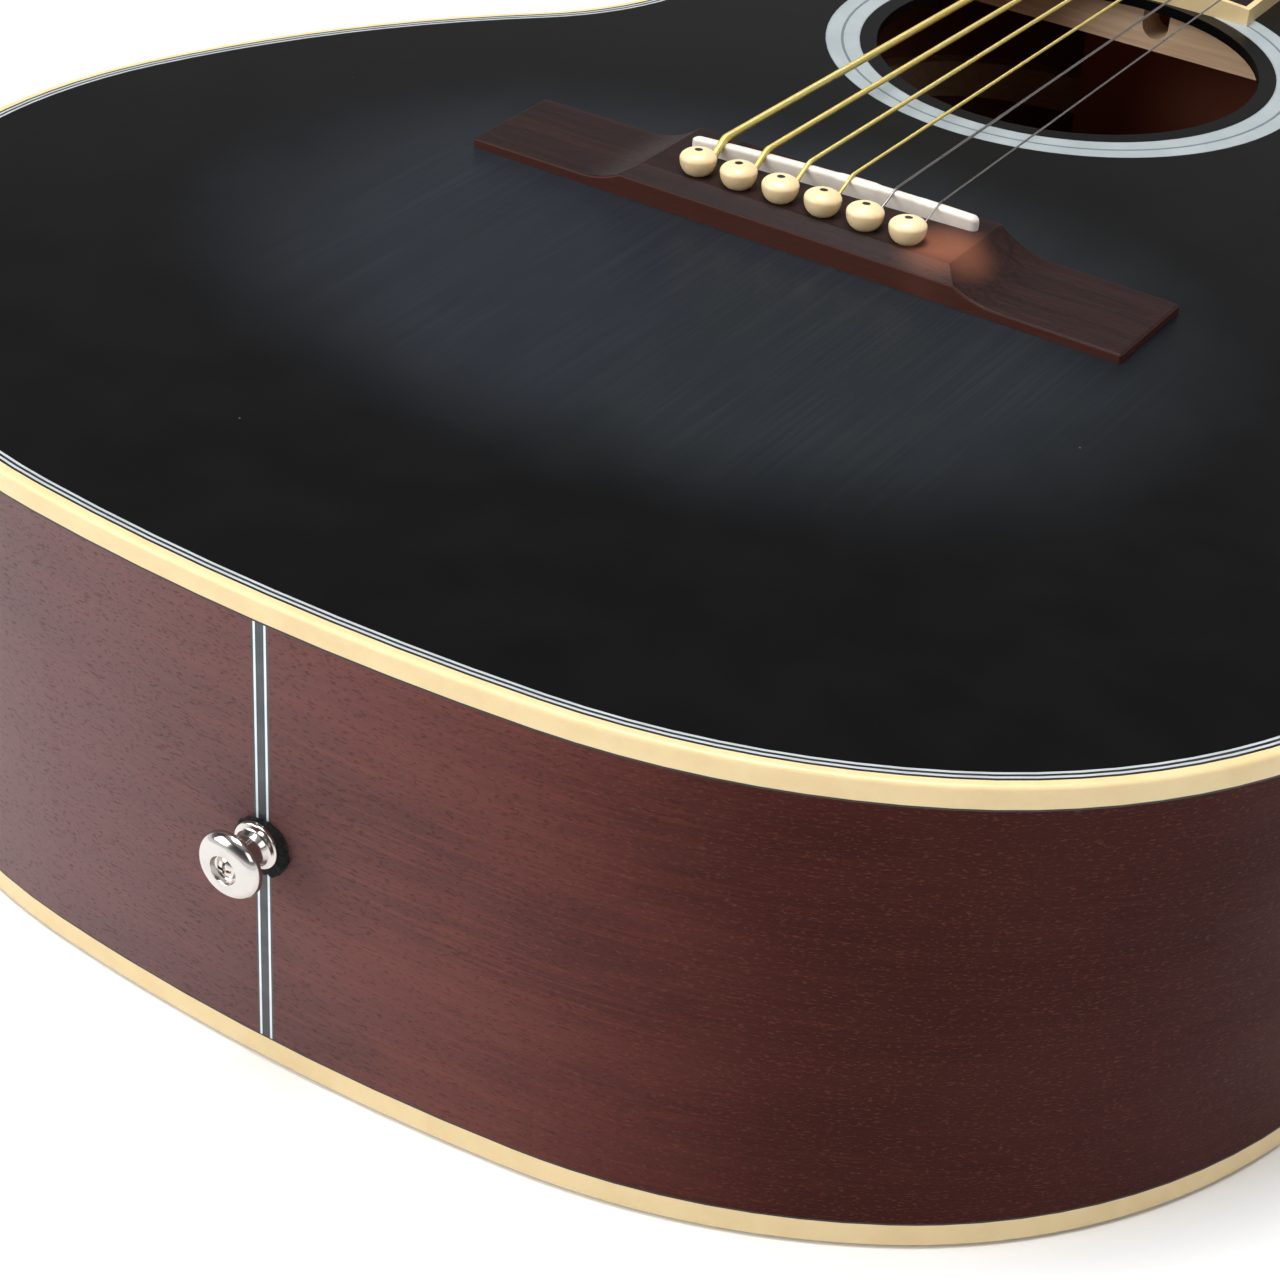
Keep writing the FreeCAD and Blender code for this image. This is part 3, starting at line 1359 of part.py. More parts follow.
def make_button(number, side, centre):
    """Oval button on the square end of the worm's shaft."""
    body = new_body(f"button_{number}")
    near, length = size("button_near"), size("button_length")
    middle = side * (near + 3.0 + length / 2)
    half = size("button_half_width")
    tall = Part.Ellipse(Vector(middle, half, 0), Vector(middle + length / 2, 0, 0), Vector(middle, 0, 0))
    pad(body, "XY_Plane", [tall], "sizes.button_thickness", both=True)
    round_edges(body, 2.6, lambda edge: edge.Length > 30)
    collar = polygon([(side * near, 0), (side * near, 2.9), (side * (near + 1.2), 3.2),
                      (side * (near + 6.0), 2.8), (side * (near + 6.0), 0)])
    revolve(body, "XY_Plane", collar, axis="H_Axis")
    bore = polygon([(side * (near - 1), 0), (side * (near - 1), size("worm_shaft_radius")),
                    (side * (near + 6.0), size("worm_shaft_radius")), (side * (near + 6.0), 0)])
    revolve(body, "XY_Plane", bore, axis="H_Axis", groove=True)
    place = Placement(centre + Vector(0, AXES_APART, GEAR_Z), Rotation())
    node(body, f"tuner_button_{number}", HEAD_FRAME.multiply(place))


# ---------------------------------------------------------------- build, place, check and write

def build():
    make_soundboard()
    make_rosette()
    make_top_binding()
    make_back_binding()
    make_purfling()
    make_side("side_treble", 1)
    make_side("side_bass", -1)
    make_back()
    make_graft()
    make_tail_block()
    make_neck_block()
    make_linings()
    make_top_braces()
    make_bridge_plate()
    make_back_braces()
    make_bridge()
    make_saddle()
    make_pins()
    make_strap_button()
    make_neck()
    make_veneer()
    make_heel_cap()
    make_truss_rod()
    make_fretboard()
    make_nut()
    make_strings()
    make_tuner_plates()
    make_tuner_small_parts()
    for number, (side, centre) in sorted(post_places().items()):
        make_post(number, side, centre)
        make_worm(number, side, centre)
        make_button(number, side, centre)
    doc.recompute()


def place_all():
    """Tip the guitar onto its back and centre it over the origin."""
    tip = Rotation(Vector(1, 0, 0), -math.degrees(math.atan(size("back_slope"))))
    ground = tip.multVec(Vector(0, TAIL_Y, -size("depth_at_tail"))).z
    crown = HEAD_FRAME.multVec(Vector(0, 176.0, size("head_veneer")))
    strap_end = Vector(0, TAIL_Y - size("strap_length"), size("strap_height") + size("strap_head_radius"))
    front, rear = tip.multVec(crown).y, tip.multVec(strap_end).y
    rest = Placement(Vector(0, -(front + rear) / 2, -ground), tip)
    for item, local in NODES:
        item.Placement = rest.multiply(local)
    doc.recompute()
    return rest


def check(item):
    if "Invalid" in item.State or "Error" in item.State:
        raise RuntimeError("failed object: " + item.Name)


def write():
    for item in doc.Objects:
        check(item)
    os.makedirs("parts", exist_ok=True)
    for item, local in NODES:
        shape = item.Shape
        if shape.isNull() or not shape.isValid():
            raise RuntimeError("bad shape: " + item.Label)
        shape.exportStep(f"parts/{item.Label}.step")
    print(len(NODES), "sub-parts written")


build()
REST = place_all()
print("rest", REST)
write()
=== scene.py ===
"""Looks of the acoustic guitar: materials, detail pieces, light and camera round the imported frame.

Pieces are drawn in millimetres, in the soundboard frame (BOARD) or the headstock frame (HEAD):
X across to the treble side, Y towards the headstock with zero at the bridge pins, Z out of the face.
"""
import json
import math
import random

import bmesh
import bpy
from mathutils import Matrix, Vector, noise


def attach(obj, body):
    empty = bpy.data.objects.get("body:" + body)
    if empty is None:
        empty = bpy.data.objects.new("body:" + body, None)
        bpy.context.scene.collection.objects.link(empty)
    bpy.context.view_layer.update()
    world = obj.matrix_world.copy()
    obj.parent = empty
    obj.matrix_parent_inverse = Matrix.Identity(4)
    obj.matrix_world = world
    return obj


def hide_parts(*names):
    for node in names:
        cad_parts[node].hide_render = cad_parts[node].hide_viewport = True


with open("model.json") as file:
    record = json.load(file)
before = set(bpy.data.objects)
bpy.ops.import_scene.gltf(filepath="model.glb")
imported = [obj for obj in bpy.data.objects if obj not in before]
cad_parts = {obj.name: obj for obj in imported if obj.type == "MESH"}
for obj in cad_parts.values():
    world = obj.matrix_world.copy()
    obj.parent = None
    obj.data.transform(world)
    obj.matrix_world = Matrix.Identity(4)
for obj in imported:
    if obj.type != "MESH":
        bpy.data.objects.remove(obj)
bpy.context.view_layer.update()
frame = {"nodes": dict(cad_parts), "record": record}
random.seed(7)

MM = 0.001

# ---------------------------------------------------------------- sizes shared with the CAD

# Lengths are in millimetres and angles in radians.

TAIL_Y, TAIL_DEPTH, BACK_SLOPE = -195.3, 113.0, 0.06  # the slope is rise over length
STRAP_Z = -56.0
STRAP_MOUNT = Vector((0.0, -201.8, STRAP_Z))
HOLE_Y = 141.1
ROSETTE_INNER, ROSETTE_SPLIT, ROSETTE_OUTER = 55.3, 59.95, 64.4
PIN_STEP = 11.2
BRIDGE_TOP = 7.8
PIN_FRONT_Y = 2.57  # neck side of a pin's shank, with a little clearance for the string
SADDLE_Y, SADDLE_TURN = 13.3, math.radians(3.6)
SADDLE_TOP, SADDLE_CAMBER = 11.6, 1600.0
SADDLE_LIFT = 0.42  # room under a string for its bend over the saddle
SADDLE_OFFSET = 0.8
BUTTON_NEAR, BUTTON_LENGTH, BUTTON_WIDTH = 21.0, 16.0, 18.0
BUTTON_MIDDLE = 32.0
SCALE_LENGTH = 628.65
NUT_FAR_Y, NUT_THICKNESS = 647.95, 4.8
NUT_STEP = 7.1
BOARD_TOP, BOARD_CAMBER, NUT_RISE = 6.0, 610.0, 1.35
BOARD_END, HALF_AT_NUT, HALF_AT_END = 193.0, 22.0, 29.2
HEAD_ORIGIN = Vector((0.0, NUT_FAR_Y, -1.6))
HEAD_ANGLE = math.radians(-10.0)
DIAMETERS = (1.35, 1.07, 0.81, 0.61, 0.41, 0.30)  # lowest string first
POST_RADIUS, POST_HOLE_Z = 3.0, 8.0
POST_ACROSS = 19.0
POSTS = {6: (-1, 42.0), 5: (-1, 80.0), 4: (-1, 118.0), 1: (1, 42.0), 2: (1, 80.0), 3: (1, 118.0)}
WORM_FROM_POST = Vector((0.0, 7.5, -17.5))


def board_matrix():
    """Soundboard millimetres to the frame's metres, from the strap button's mount."""
    mount = next(m for m in frame["record"]["mounts"] if m["name"] == "strap_button")
    across = Vector((1.0, 0.0, 0.0))
    along = -Vector(mount["axis"]).normalized()
    up = across.cross(along)
    turn = Matrix((across, along, up)).transposed()
    origin = Vector(mount["pos_m"]) - turn @ STRAP_MOUNT * MM
    return Matrix.Translation(origin) @ turn.to_4x4() @ Matrix.Scale(MM, 4)


BOARD = board_matrix()
HEAD = BOARD @ Matrix.Translation(HEAD_ORIGIN) @ Matrix.Rotation(HEAD_ANGLE, 4, "X")

# ---------------------------------------------------------------- shader helpers


def srgb(red, green, blue):
    """Linear colour of an 8-bit display colour."""
    def linear(value):
        value /= 255
        return value / 12.92 if value <= 0.04045 else ((value + 0.055) / 1.055) ** 2.4
    return (linear(red), linear(green), linear(blue), 1.0)


def dimmed(colour, share):
    """The colour with its light scaled to a share."""
    return [value * share for value in colour[:3]] + [1]


class Shader:
    """A Principled material with textures laid out in millimetres."""

    def __init__(self, name, **values):
        self.material = bpy.data.materials.new(name)
        self.material.use_nodes = True
        self.tree = self.material.node_tree
        self.surface = next(n for n in self.tree.nodes if n.type == "BSDF_PRINCIPLED")
        for key, value in values.items():
            self.put(key.replace("_", " "), value)

    def put(self, socket, value):
        """Set or link an input of the Principled shader."""
        names = {s.name.lower(): s for s in self.surface.inputs}
        target = names[socket.lower()]
        if isinstance(value, bpy.types.NodeSocket):
            self.tree.links.new(value, target)
        else:
            target.default_value = value

    def add(self, kind, inputs, **settings):
        """A new node with its inputs set or linked."""
        node = self.tree.nodes.new("ShaderNode" + kind)
        for key, value in settings.items():
            setattr(node, key, value)
        for key, value in inputs.items():
            if isinstance(value, bpy.types.NodeSocket):
                self.tree.links.new(value, node.inputs[key])
            else:
                node.inputs[key].default_value = value
        return node

    def spot(self, stretch=(1, 1, 1)):
        """Millimetre coordinates in the soundboard frame, stretched for grain."""
        inverse = BOARD.inverted()
        coords = self.add("TexCoord", {}).outputs["Object"]
        there = self.add("Mapping", {"Vector": coords, "Location": inverse.to_translation(),
                                     "Rotation": inverse.to_euler(), "Scale": inverse.to_scale()})
        if tuple(stretch) == (1, 1, 1):
            return there.outputs[0]
        return self.add("Mapping", {"Vector": there.outputs[0], "Scale": stretch}).outputs[0]

    def split(self, vector):
        node = self.add("SeparateXYZ", {"Vector": vector})
        return node.outputs[0], node.outputs[1], node.outputs[2]

    def noise(self, vector, scale, detail=3.0, rough=0.55, warp=0.0):
        return self.add("TexNoise", {"Vector": vector, "Scale": scale, "Detail": detail,
                                     "Roughness": rough, "Distortion": warp}).outputs["Fac"]

    def math(self, kind, first, second=0.0):
        """Output of a Math node on two numbers or sockets."""
        return self.add("Math", {0: first, 1: second}, operation=kind).outputs[0]

    def span(self, value, low, high, to_low=0.0, to_high=1.0):
        """Smooth step from to_low at low to to_high at high."""
        node = self.add("MapRange", {"Value": value, "From Min": low, "From Max": high,
                                     "To Min": to_low, "To Max": to_high},
                        interpolation_type="SMOOTHSTEP")
        return node.outputs[0]

    def mix(self, factor, first, second):
        """Colour between first, at factor 0, and second, at factor 1."""
        node = self.tree.nodes.new("ShaderNodeMix")
        node.data_type = "RGBA"
        sockets = (node.inputs[0], node.inputs[6], node.inputs[7])
        for socket, value in zip(sockets, (factor, first, second)):
            if isinstance(value, bpy.types.NodeSocket):
                self.tree.links.new(value, socket)
            else:
                socket.default_value = value
        return node.outputs[2]

    def bump(self, height, depth):
        """Normal of a relief of the given depth in millimetres."""
        relief = {"Height": height, "Distance": depth * MM, "Strength": 1.0}
        return self.add("Bump", relief).outputs[0]

    def distance(self, at_x, at_y):
        """Distance in plan from a point of the soundboard frame."""
        x, y, _ = self.split(self.spot())
        off_x, off_y = self.math("SUBTRACT", x, at_x), self.math("SUBTRACT", y, at_y)
        return self.math("SQRT", self.math("ADD", self.math("MULTIPLY", off_x, off_x),
                                           self.math("MULTIPLY", off_y, off_y)))


# ---------------------------------------------------------------- materials

# Plan places on the soundboard.
HAZE_CENTRE, HAZE_HALF, HAZE_POWER = (-6.0, -32.0), (103.0, 76.0), 2.3
BODY_MIDDLE_Y = 75.0
# Where a painted highlight sits on the bridge, beside the first string's pin.
PAINTED_HIGHLIGHT_SPOT = (36.5, 3.0)


def soundboard_finish():
    """Black lacquer thinned to a blue-grey haze round the bridge, over fine straight grain.

    A grey line fills the gap between the two rosette rings, where the soundboard shows.
    """
    s = Shader("top_black", Specular_IOR_Level=0.14)
    x, y, _ = s.split(s.spot())
    cloud = s.noise(s.spot(), 0.02, 2.0)
    oval = []
    for along, centre, half in zip((x, y), HAZE_CENTRE, HAZE_HALF):
        part = s.math("ABSOLUTE", s.math("DIVIDE", s.math("SUBTRACT", along, centre), half))
        oval.append(s.math("POWER", part, HAZE_POWER))
    oval = s.math("SQRT", s.math("ADD", *oval))
    oval = s.math("ADD", oval, s.math("MULTIPLY", s.math("SUBTRACT", cloud, 0.5), 0.22))
    haze = s.span(oval, 1.36, 0.66)
    fine = s.noise(s.spot((1, 0.012, 1)), 1.5, 2.0, 0.6)
    broad = s.noise(s.spot((1, 0.010, 1)), 0.16, 2.0, 0.5)
    mottle = s.noise(s.spot((1, 0.5, 1)), 0.07, 4.0, 0.6)
    bass_half = s.span(x, 0.4, -0.4)  # the two bookmatched halves differ a little
    grey = s.mix(bass_half, (0.0138, 0.0168, 0.0196, 1), (0.0134, 0.0158, 0.0208, 1))
    grey = s.mix(s.span(mottle, 0.35, 0.68, 0.0, 0.55), grey, (0.0118, 0.0150, 0.0205, 1))
    grey = s.mix(s.span(fine, 0.42, 0.66, 0.0, 0.28), grey, (0.0250, 0.0290, 0.0330, 1))
    grey = s.mix(s.span(broad, 0.35, 0.7, 0.0, 0.22), grey, (0.0092, 0.0115, 0.0142, 1))
    black = (0.0022, 0.0022, 0.0024, 1)
    colour = s.mix(haze, black, grey)
    speck = s.add("TexVoronoi", {"Vector": s.spot(), "Scale": 0.045, "Randomness": 1.0})
    dust = s.span(speck.outputs["Distance"], 0.014, 0.006, 0.0, 0.55)
    colour = s.mix(dust, colour, (0.16, 0.18, 0.20, 1))
    off_line = s.math("ABSOLUTE", s.math("SUBTRACT", s.distance(0.0, HOLE_Y), ROSETTE_SPLIT))
    colour = s.mix(s.span(off_line, 0.50, 0.40), colour, srgb(104, 116, 121))
    s.put("Base Color", colour)
    s.put("Roughness", s.span(s.noise(s.spot(), 0.05, 3.0), 0.3, 0.7, 0.30, 0.36))
    s.put("Normal", s.bump(s.noise(s.spot((1, 0.02, 1)), 1.1, 2.0), 0.005))
    return s.material


def inside_of_back(s):
    """One on the back's inner face: the upper half of its thickness."""
    _, y, z = s.split(s.spot())
    slope = s.math("MULTIPLY", s.math("SUBTRACT", y, TAIL_Y), BACK_SLOPE)
    height = s.math("SUBTRACT", s.math("ADD", z, TAIL_DEPTH), slope)
    return s.span(height, 1.2, 1.4)


def inside_of_side(s):
    """One where the side's surface faces the middle of the body."""
    x, y, _ = s.split(s.spot())
    nx, ny, _ = s.split(s.add("TexCoord", {}).outputs["Normal"])
    from_middle = s.math("SUBTRACT", y, BODY_MIDDLE_Y)
    outward = s.math("ADD", s.math("MULTIPLY", x, nx), s.math("MULTIPLY", from_middle, ny))
    return s.span(outward, 1.0, -1.0)


def mahogany(name, stretch, painted_tail_light=False, raw=0.0):
    """Dark red-brown stained mahogany under satin lacquer; stretch is small along the grain.

    painted_tail_light paints light into the tail: painted shade darkens its treble side and a
    grey-lilac painted sheen of reflected light lightens its bass side. raw is how far
    the wood is unstained: a number, or a function that makes a mask for it.
    """
    s = Shader(name, Specular_IOR_Level=0.06)
    if callable(raw):
        raw = s.math("MULTIPLY", raw(s), 0.6)
    dash = [0.30 if k < 1 else 1 for k in stretch]
    patch = [0.35 if k < 1 else 1 for k in stretch]
    bands = s.noise(s.spot(stretch), 0.22, 4.0, 0.65, 0.3)
    fibres = s.noise(s.spot(stretch), 1.3, 4.0, 0.7)
    blotch = s.noise(s.spot(patch), 0.035, 4.0, 0.6)
    ticks = s.noise(s.spot(dash), 2.3, 2.0, 0.5)
    glints = s.noise(s.spot(dash), 2.8, 2.0, 0.5)
    dark_stain, light_stain = (0.094, 0.0220, 0.0160, 1), (0.112, 0.0275, 0.0195, 1)
    colour = s.mix(s.span(bands, 0.32, 0.68), dark_stain, light_stain)
    colour = s.mix(s.span(blotch, 0.40, 0.66, 0.0, 0.60), colour, (0.044, 0.0105, 0.0090, 1))
    colour = s.mix(s.span(fibres, 0.46, 0.66, 0.0, 0.62), colour, (0.150, 0.0340, 0.0200, 1))
    if painted_tail_light:
        x, y, _ = s.split(s.spot())
        # Painted shade on the treble side of the tail, and a painted sheen of reflected light on its
        # bass side.
        painted_shade = s.math("MULTIPLY", s.span(x, 25.0, 130.0, 0.0, 0.80), s.span(y, 0.0, -130.0, 0.4, 1.0))
        painted_sheen = s.math("MULTIPLY", s.span(x, 115.0, -150.0, 0.0, 0.84),
                      s.span(y, -75.0, -160.0, 0.15, 1.0))
        colour = s.mix(painted_shade, colour, (0.022, 0.0028, 0.0022, 1))
        colour = s.mix(painted_sheen, colour, (0.180, 0.1300, 0.1360, 1))
    open_pore = s.span(ticks, 0.54, 0.66)
    colour = s.mix(s.math("MULTIPLY", open_pore, 0.38), colour, (0.026, 0.0070, 0.0060, 1))
    colour = s.mix(s.span(glints, 0.56, 0.70, 0.0, 0.26), colour, (0.190, 0.0600, 0.0360, 1))
    colour = s.mix(raw, colour, (0.42, 0.17, 0.10, 1))
    s.put("Base Color", colour)
    s.put("Roughness", s.span(blotch, 0.3, 0.7, 0.40, 0.50))
    relief = s.math("SUBTRACT", s.math("MULTIPLY", fibres, 0.3), open_pore)
    s.put("Normal", s.bump(relief, 0.020))
    return s.material


def rosewood(name, stretch, painted_face_light=0.0):
    """Oiled dark brown wood with reddish streaks and open pores.

    painted_face_light is how far the steep faces are painted lighter red-brown, standing in for light
    falling on them; with it comes a painted highlight, a reddish spot beside the first string's pin.
    """
    s = Shader(name, Specular_IOR_Level=0.14)
    along = [0.14 if k < 1 else 1 for k in stretch]
    bands = s.noise(s.spot(stretch), 0.30, 4.0, 0.6, 0.8)
    fibres = s.noise(s.spot(stretch), 2.6, 3.0, 0.6)
    pores = s.noise(s.spot(along), 2.8, 2.0, 0.5)
    dark_brown, brown = (0.0095, 0.0048, 0.0048, 1), (0.0210, 0.0088, 0.0078, 1)
    colour = s.mix(s.span(bands, 0.30, 0.72), dark_brown, brown)
    colour = s.mix(s.span(fibres, 0.42, 0.78, 0.0, 0.45), colour, (0.046, 0.0185, 0.0145, 1))
    open_pore = s.span(pores, 0.62, 0.70)
    colour = s.mix(s.math("MULTIPLY", open_pore, 0.75), colour, (0.014, 0.007, 0.006, 1))
    if painted_face_light:
        # Painted light: the steep faces are painted lighter red-brown, as lit faces.
        facing = s.add("TexCoord", {}).outputs["Normal"]
        painted_face_mask = s.span(s.math("ABSOLUTE", s.split(facing)[2]), 0.85, 0.35, 0.0, painted_face_light)
        colour = s.mix(painted_face_mask, colour, (0.150, 0.042, 0.026, 1))
        # Painted highlight: a reddish spot beside the first string's pin.
        patch = s.span(s.distance(*PAINTED_HIGHLIGHT_SPOT), 14.0, 2.0, 0.0, 0.8)
        colour = s.mix(patch, colour, (0.240, 0.086, 0.047, 1))
    s.put("Base Color", colour)
    s.put("Roughness", s.span(fibres, 0.3, 0.7, 0.42, 0.56))
    s.put("Normal", s.bump(s.math("SUBTRACT", s.math("MULTIPLY", fibres, 0.3), open_pore), 0.030))
    return s.material


def pale_plastic(name, light, dark, rough):
    """Cream or bone-coloured material with a faint cloud, fine streaks and a soft glow."""
    s = Shader(name, Subsurface_Weight=0.12, Subsurface_Scale=0.0015)
    cloud = s.noise(s.spot(), 0.09, 4.0, 0.6)
    grit = s.noise(s.spot(), 2.2, 3.0, 0.6)
    colour = s.mix(s.span(cloud, 0.30, 0.72), light, dark)
    colour = s.mix(s.span(grit, 0.60, 0.80, 0.0, 0.30), colour, dimmed(dark, 0.80))
    s.put("Base Color", colour)
    s.put("Roughness", s.span(grit, 0.3, 0.7, rough - 0.04, rough + 0.08))
    s.put("Normal", s.bump(grit, 0.0045))
    return s.material


def metal(name, colour, rough, scratch=(1, 1, 1)):
    """Plated or bare metal with faint scratches and cloudy roughness."""
    s = Shader(name, Metallic=1.0)
    cloud = s.noise(s.spot(), 0.35, 3.0)
    lines = s.noise(s.spot(scratch), 5.0, 3.0, 0.6)
    tint = s.mix(s.span(cloud, 0.35, 0.75, 0.0, 0.5), colour, dimmed(colour, 0.86))
    s.put("Base Color", tint)
    s.put("Roughness", s.math("ADD", s.span(cloud, 0.3, 0.7, rough * 0.8, rough * 1.3),
                              s.math("MULTIPLY", lines, 0.05)))
    s.put("Normal", s.bump(lines, 0.0012))
    return s.material


WRAP_PITCH = 0.42  # millimetres from turn to turn


def wound_wire():
    """Bronze wrap wire: fine rings across the string."""
    s = Shader("bronze", Metallic=1.0)
    y = s.split(s.spot())[1]
    turn = s.math("SINE", s.math("MULTIPLY", y, 2 * math.pi / WRAP_PITCH))
    cloud = s.noise(s.spot((1, 0.05, 1)), 0.5, 3.0)
    colour = s.mix(s.span(cloud, 0.3, 0.75), srgb(246, 230, 150), srgb(228, 206, 120))
    # Painted shade: the gaps between turns are painted darker.
    colour = s.mix(s.span(turn, -0.3, -0.95, 0.0, 0.35), colour, srgb(170, 140, 66))
    s.put("Base Color", colour)
    s.put("Roughness", s.span(cloud, 0.3, 0.7, 0.46, 0.58))
    s.put("Normal", s.bump(turn, 0.030))
    return s.material


def felt_finish():
    """Black felt with a tufted, unevenly dark surface."""
    s = Shader("felt", Roughness=0.95, Sheen_Weight=0.08, Sheen_Roughness=0.5,
               Specular_IOR_Level=0.1)
    tuft = s.noise(s.spot(), 3.0, 4.0, 0.7)
    shadow, tip = (0.004, 0.004, 0.005, 1), (0.014, 0.014, 0.016, 1)
    s.put("Base Color", s.mix(s.span(tuft, 0.3, 0.75), shadow, tip))
    s.put("Normal", s.bump(tuft, 0.25))
    return s.material


def line_finish(name, light, dark):
    """Thin inlaid line or flat black part with slight fading along its length."""
    s = Shader(name)
    fade = s.noise(s.spot(), 0.12, 4.0)
    s.put("Base Color", s.mix(s.span(fade, 0.3, 0.7), light, dark))
    s.put("Roughness", s.span(fade, 0.3, 0.7, 0.36, 0.46))
    s.put("Normal", s.bump(s.noise(s.spot(), 2.0, 2.0), 0.004))
    return s.material


def rosette_finish():
    """Pale grey-white rings with a faint cloud and slightly dulled edges."""
    s = Shader("rosette")
    radius = s.distance(0.0, HOLE_Y)
    cloud = s.noise(s.spot(), 0.08, 4.0)
    grit = s.noise(s.spot(), 1.6, 3.0, 0.6)
    base = s.mix(s.span(cloud, 0.3, 0.7), srgb(158, 166, 168), srgb(148, 157, 159))
    from_inner = s.math("ABSOLUTE", s.math("SUBTRACT", radius, ROSETTE_INNER))
    from_outer = s.math("ABSOLUTE", s.math("SUBTRACT", radius, ROSETTE_OUTER))
    edge = s.math("MINIMUM", from_inner, from_outer)
    base = s.mix(s.span(edge, 0.55, 0.10, 0.0, 0.45), base, srgb(118, 127, 131))
    base = s.mix(s.span(grit, 0.58, 0.75, 0.0, 0.25), base, srgb(138, 146, 149))
    s.put("Base Color", base)
    s.put("Roughness", s.span(grit, 0.3, 0.7, 0.38, 0.46))
    s.put("Normal", s.bump(grit, 0.003))
    return s.material


def raw_wood(name, stretch):
    """Unfinished pale brace wood with straight grain."""
    s = Shader(name)
    grain = s.noise(s.spot(stretch), 0.9, 3.0, 0.6)
    cloud = s.noise(s.spot(), 0.03, 3.0)
    colour = s.mix(s.span(grain, 0.35, 0.7), (0.82, 0.60, 0.39, 1), (0.70, 0.47, 0.285, 1))
    colour = s.mix(s.span(cloud, 0.35, 0.7, 0.0, 0.4), colour, (0.68, 0.45, 0.27, 1))
    s.put("Base Color", colour)
    s.put("Roughness", s.span(grain, 0.3, 0.7, 0.60, 0.75))
    s.put("Normal", s.bump(grain, 0.05))
    return s.material


def pearl_finish():
    """Pale mother-of-pearl with broken patches of faint colour."""
    s = Shader("pearl", Coat_Weight=0.6, Coat_Roughness=0.15)
    cell = s.add("TexVoronoi", {"Vector": s.spot(), "Scale": 0.55}).outputs["Color"]
    swirl = s.noise(s.spot(), 0.5, 3.0, 0.6, 1.5)
    green, pink = (0.62, 0.66, 0.62, 1), (0.72, 0.62, 0.66, 1)
    hue = s.mix(0.25, s.mix(s.span(swirl, 0.3, 0.7), green, pink), cell)
    s.put("Base Color", s.mix(0.35, hue, (0.72, 0.74, 0.72, 1)))
    s.put("Roughness", s.span(swirl, 0.3, 0.7, 0.2, 0.32))
    s.put("Normal", s.bump(swirl, 0.01))
    return s.material


# Stretch of the grain: along the guitar, across it, round its sides and up its blocks.
ALONG, ACROSS = (1, 0.03, 1), (0.03, 1, 1)
AROUND, UPRIGHT = (0.03, 0.03, 1), (1, 1, 0.03)

LOOKS = {
    "top_black": soundboard_finish(),
    "mahogany_side": mahogany("mahogany_side", AROUND, painted_tail_light=True, raw=inside_of_side),
    "mahogany_back": mahogany("mahogany_back", ALONG, raw=inside_of_back),
    "mahogany_long": mahogany("mahogany_long", ALONG),
    "mahogany_block": mahogany("mahogany_block", UPRIGHT, raw=0.5),
    "inside_wood": raw_wood("inside_wood", ACROSS),
    "cream_binding": pale_plastic("cream_binding", (0.740, 0.575, 0.315, 1),
                                  (0.690, 0.520, 0.270, 1), 0.36),
    "black_line": line_finish("black_line", (0.006, 0.006, 0.007, 1), (0.012, 0.012, 0.013, 1)),
    "white_line": line_finish("white_line", (0.70, 0.76, 0.78, 1), (0.60, 0.66, 0.68, 1)),
    "purfling_light": line_finish("purfling_light", (0.46, 0.49, 0.50, 1),
                                  (0.38, 0.41, 0.42, 1)),
    "graft_grey": line_finish("graft_grey", (0.040, 0.048, 0.054, 1), (0.026, 0.030, 0.034, 1)),
    "rosette": rosette_finish(),
    "rosewood_bridge": rosewood("rosewood_bridge", ACROSS, 0.30),
    "rosewood_board": rosewood("rosewood_board", ALONG),
    "bone": pale_plastic("bone", (0.74, 0.69, 0.62, 1), (0.63, 0.57, 0.51, 1), 0.42),
    "pin_cream": pale_plastic("pin_cream", (0.86, 0.67, 0.40, 1), (0.79, 0.585, 0.33, 1), 0.30),
    "pin_dot": line_finish("pin_dot", (0.010, 0.010, 0.010, 1), (0.020, 0.020, 0.020, 1)),
    "nickel": metal("nickel", (0.60, 0.565, 0.535, 1), 0.11),
    "steel": metal("steel", (0.42, 0.42, 0.43, 1), 0.32),
    "felt": felt_finish(),
    "head_black": line_finish("head_black", (0.0055, 0.0055, 0.006, 1), (0.010, 0.010, 0.011, 1)),
    "pearl": pearl_finish(),
    "bronze": wound_wire(),
    "plain_string": metal("plain_string", (0.42, 0.38, 0.37, 1), 0.30, (1, 0.05, 1)),
    "button_cream": pale_plastic("button_cream", (0.84, 0.73, 0.50, 1), (0.76, 0.63, 0.40, 1),
                                 0.22),
}

# Nodes with a look of their own; the others take their material slot's.
NODE_LOOKS = {
    "side_bass": "mahogany_side", "side_treble": "mahogany_side",
    "back": "mahogany_back", "neck": "mahogany_long",
    "bridge": "rosewood_bridge", "fretboard": "rosewood_board",
    "neck_block": "mahogany_block", "back_braces": "mahogany_block",
    "purfling_white": "purfling_light",
}
slots = {part["node"]: part["material_slot"] for part in frame["record"]["subparts"]}
for name, item in frame["nodes"].items():
    look = LOOKS[NODE_LOOKS.get(name, slots[name])]
    item.data.materials.clear()
    item.data.materials.append(look)

# ---------------------------------------------------------------- mesh helpers


STRAIGHT = math.radians(89.5)  # half the angle at a corner that barely bends


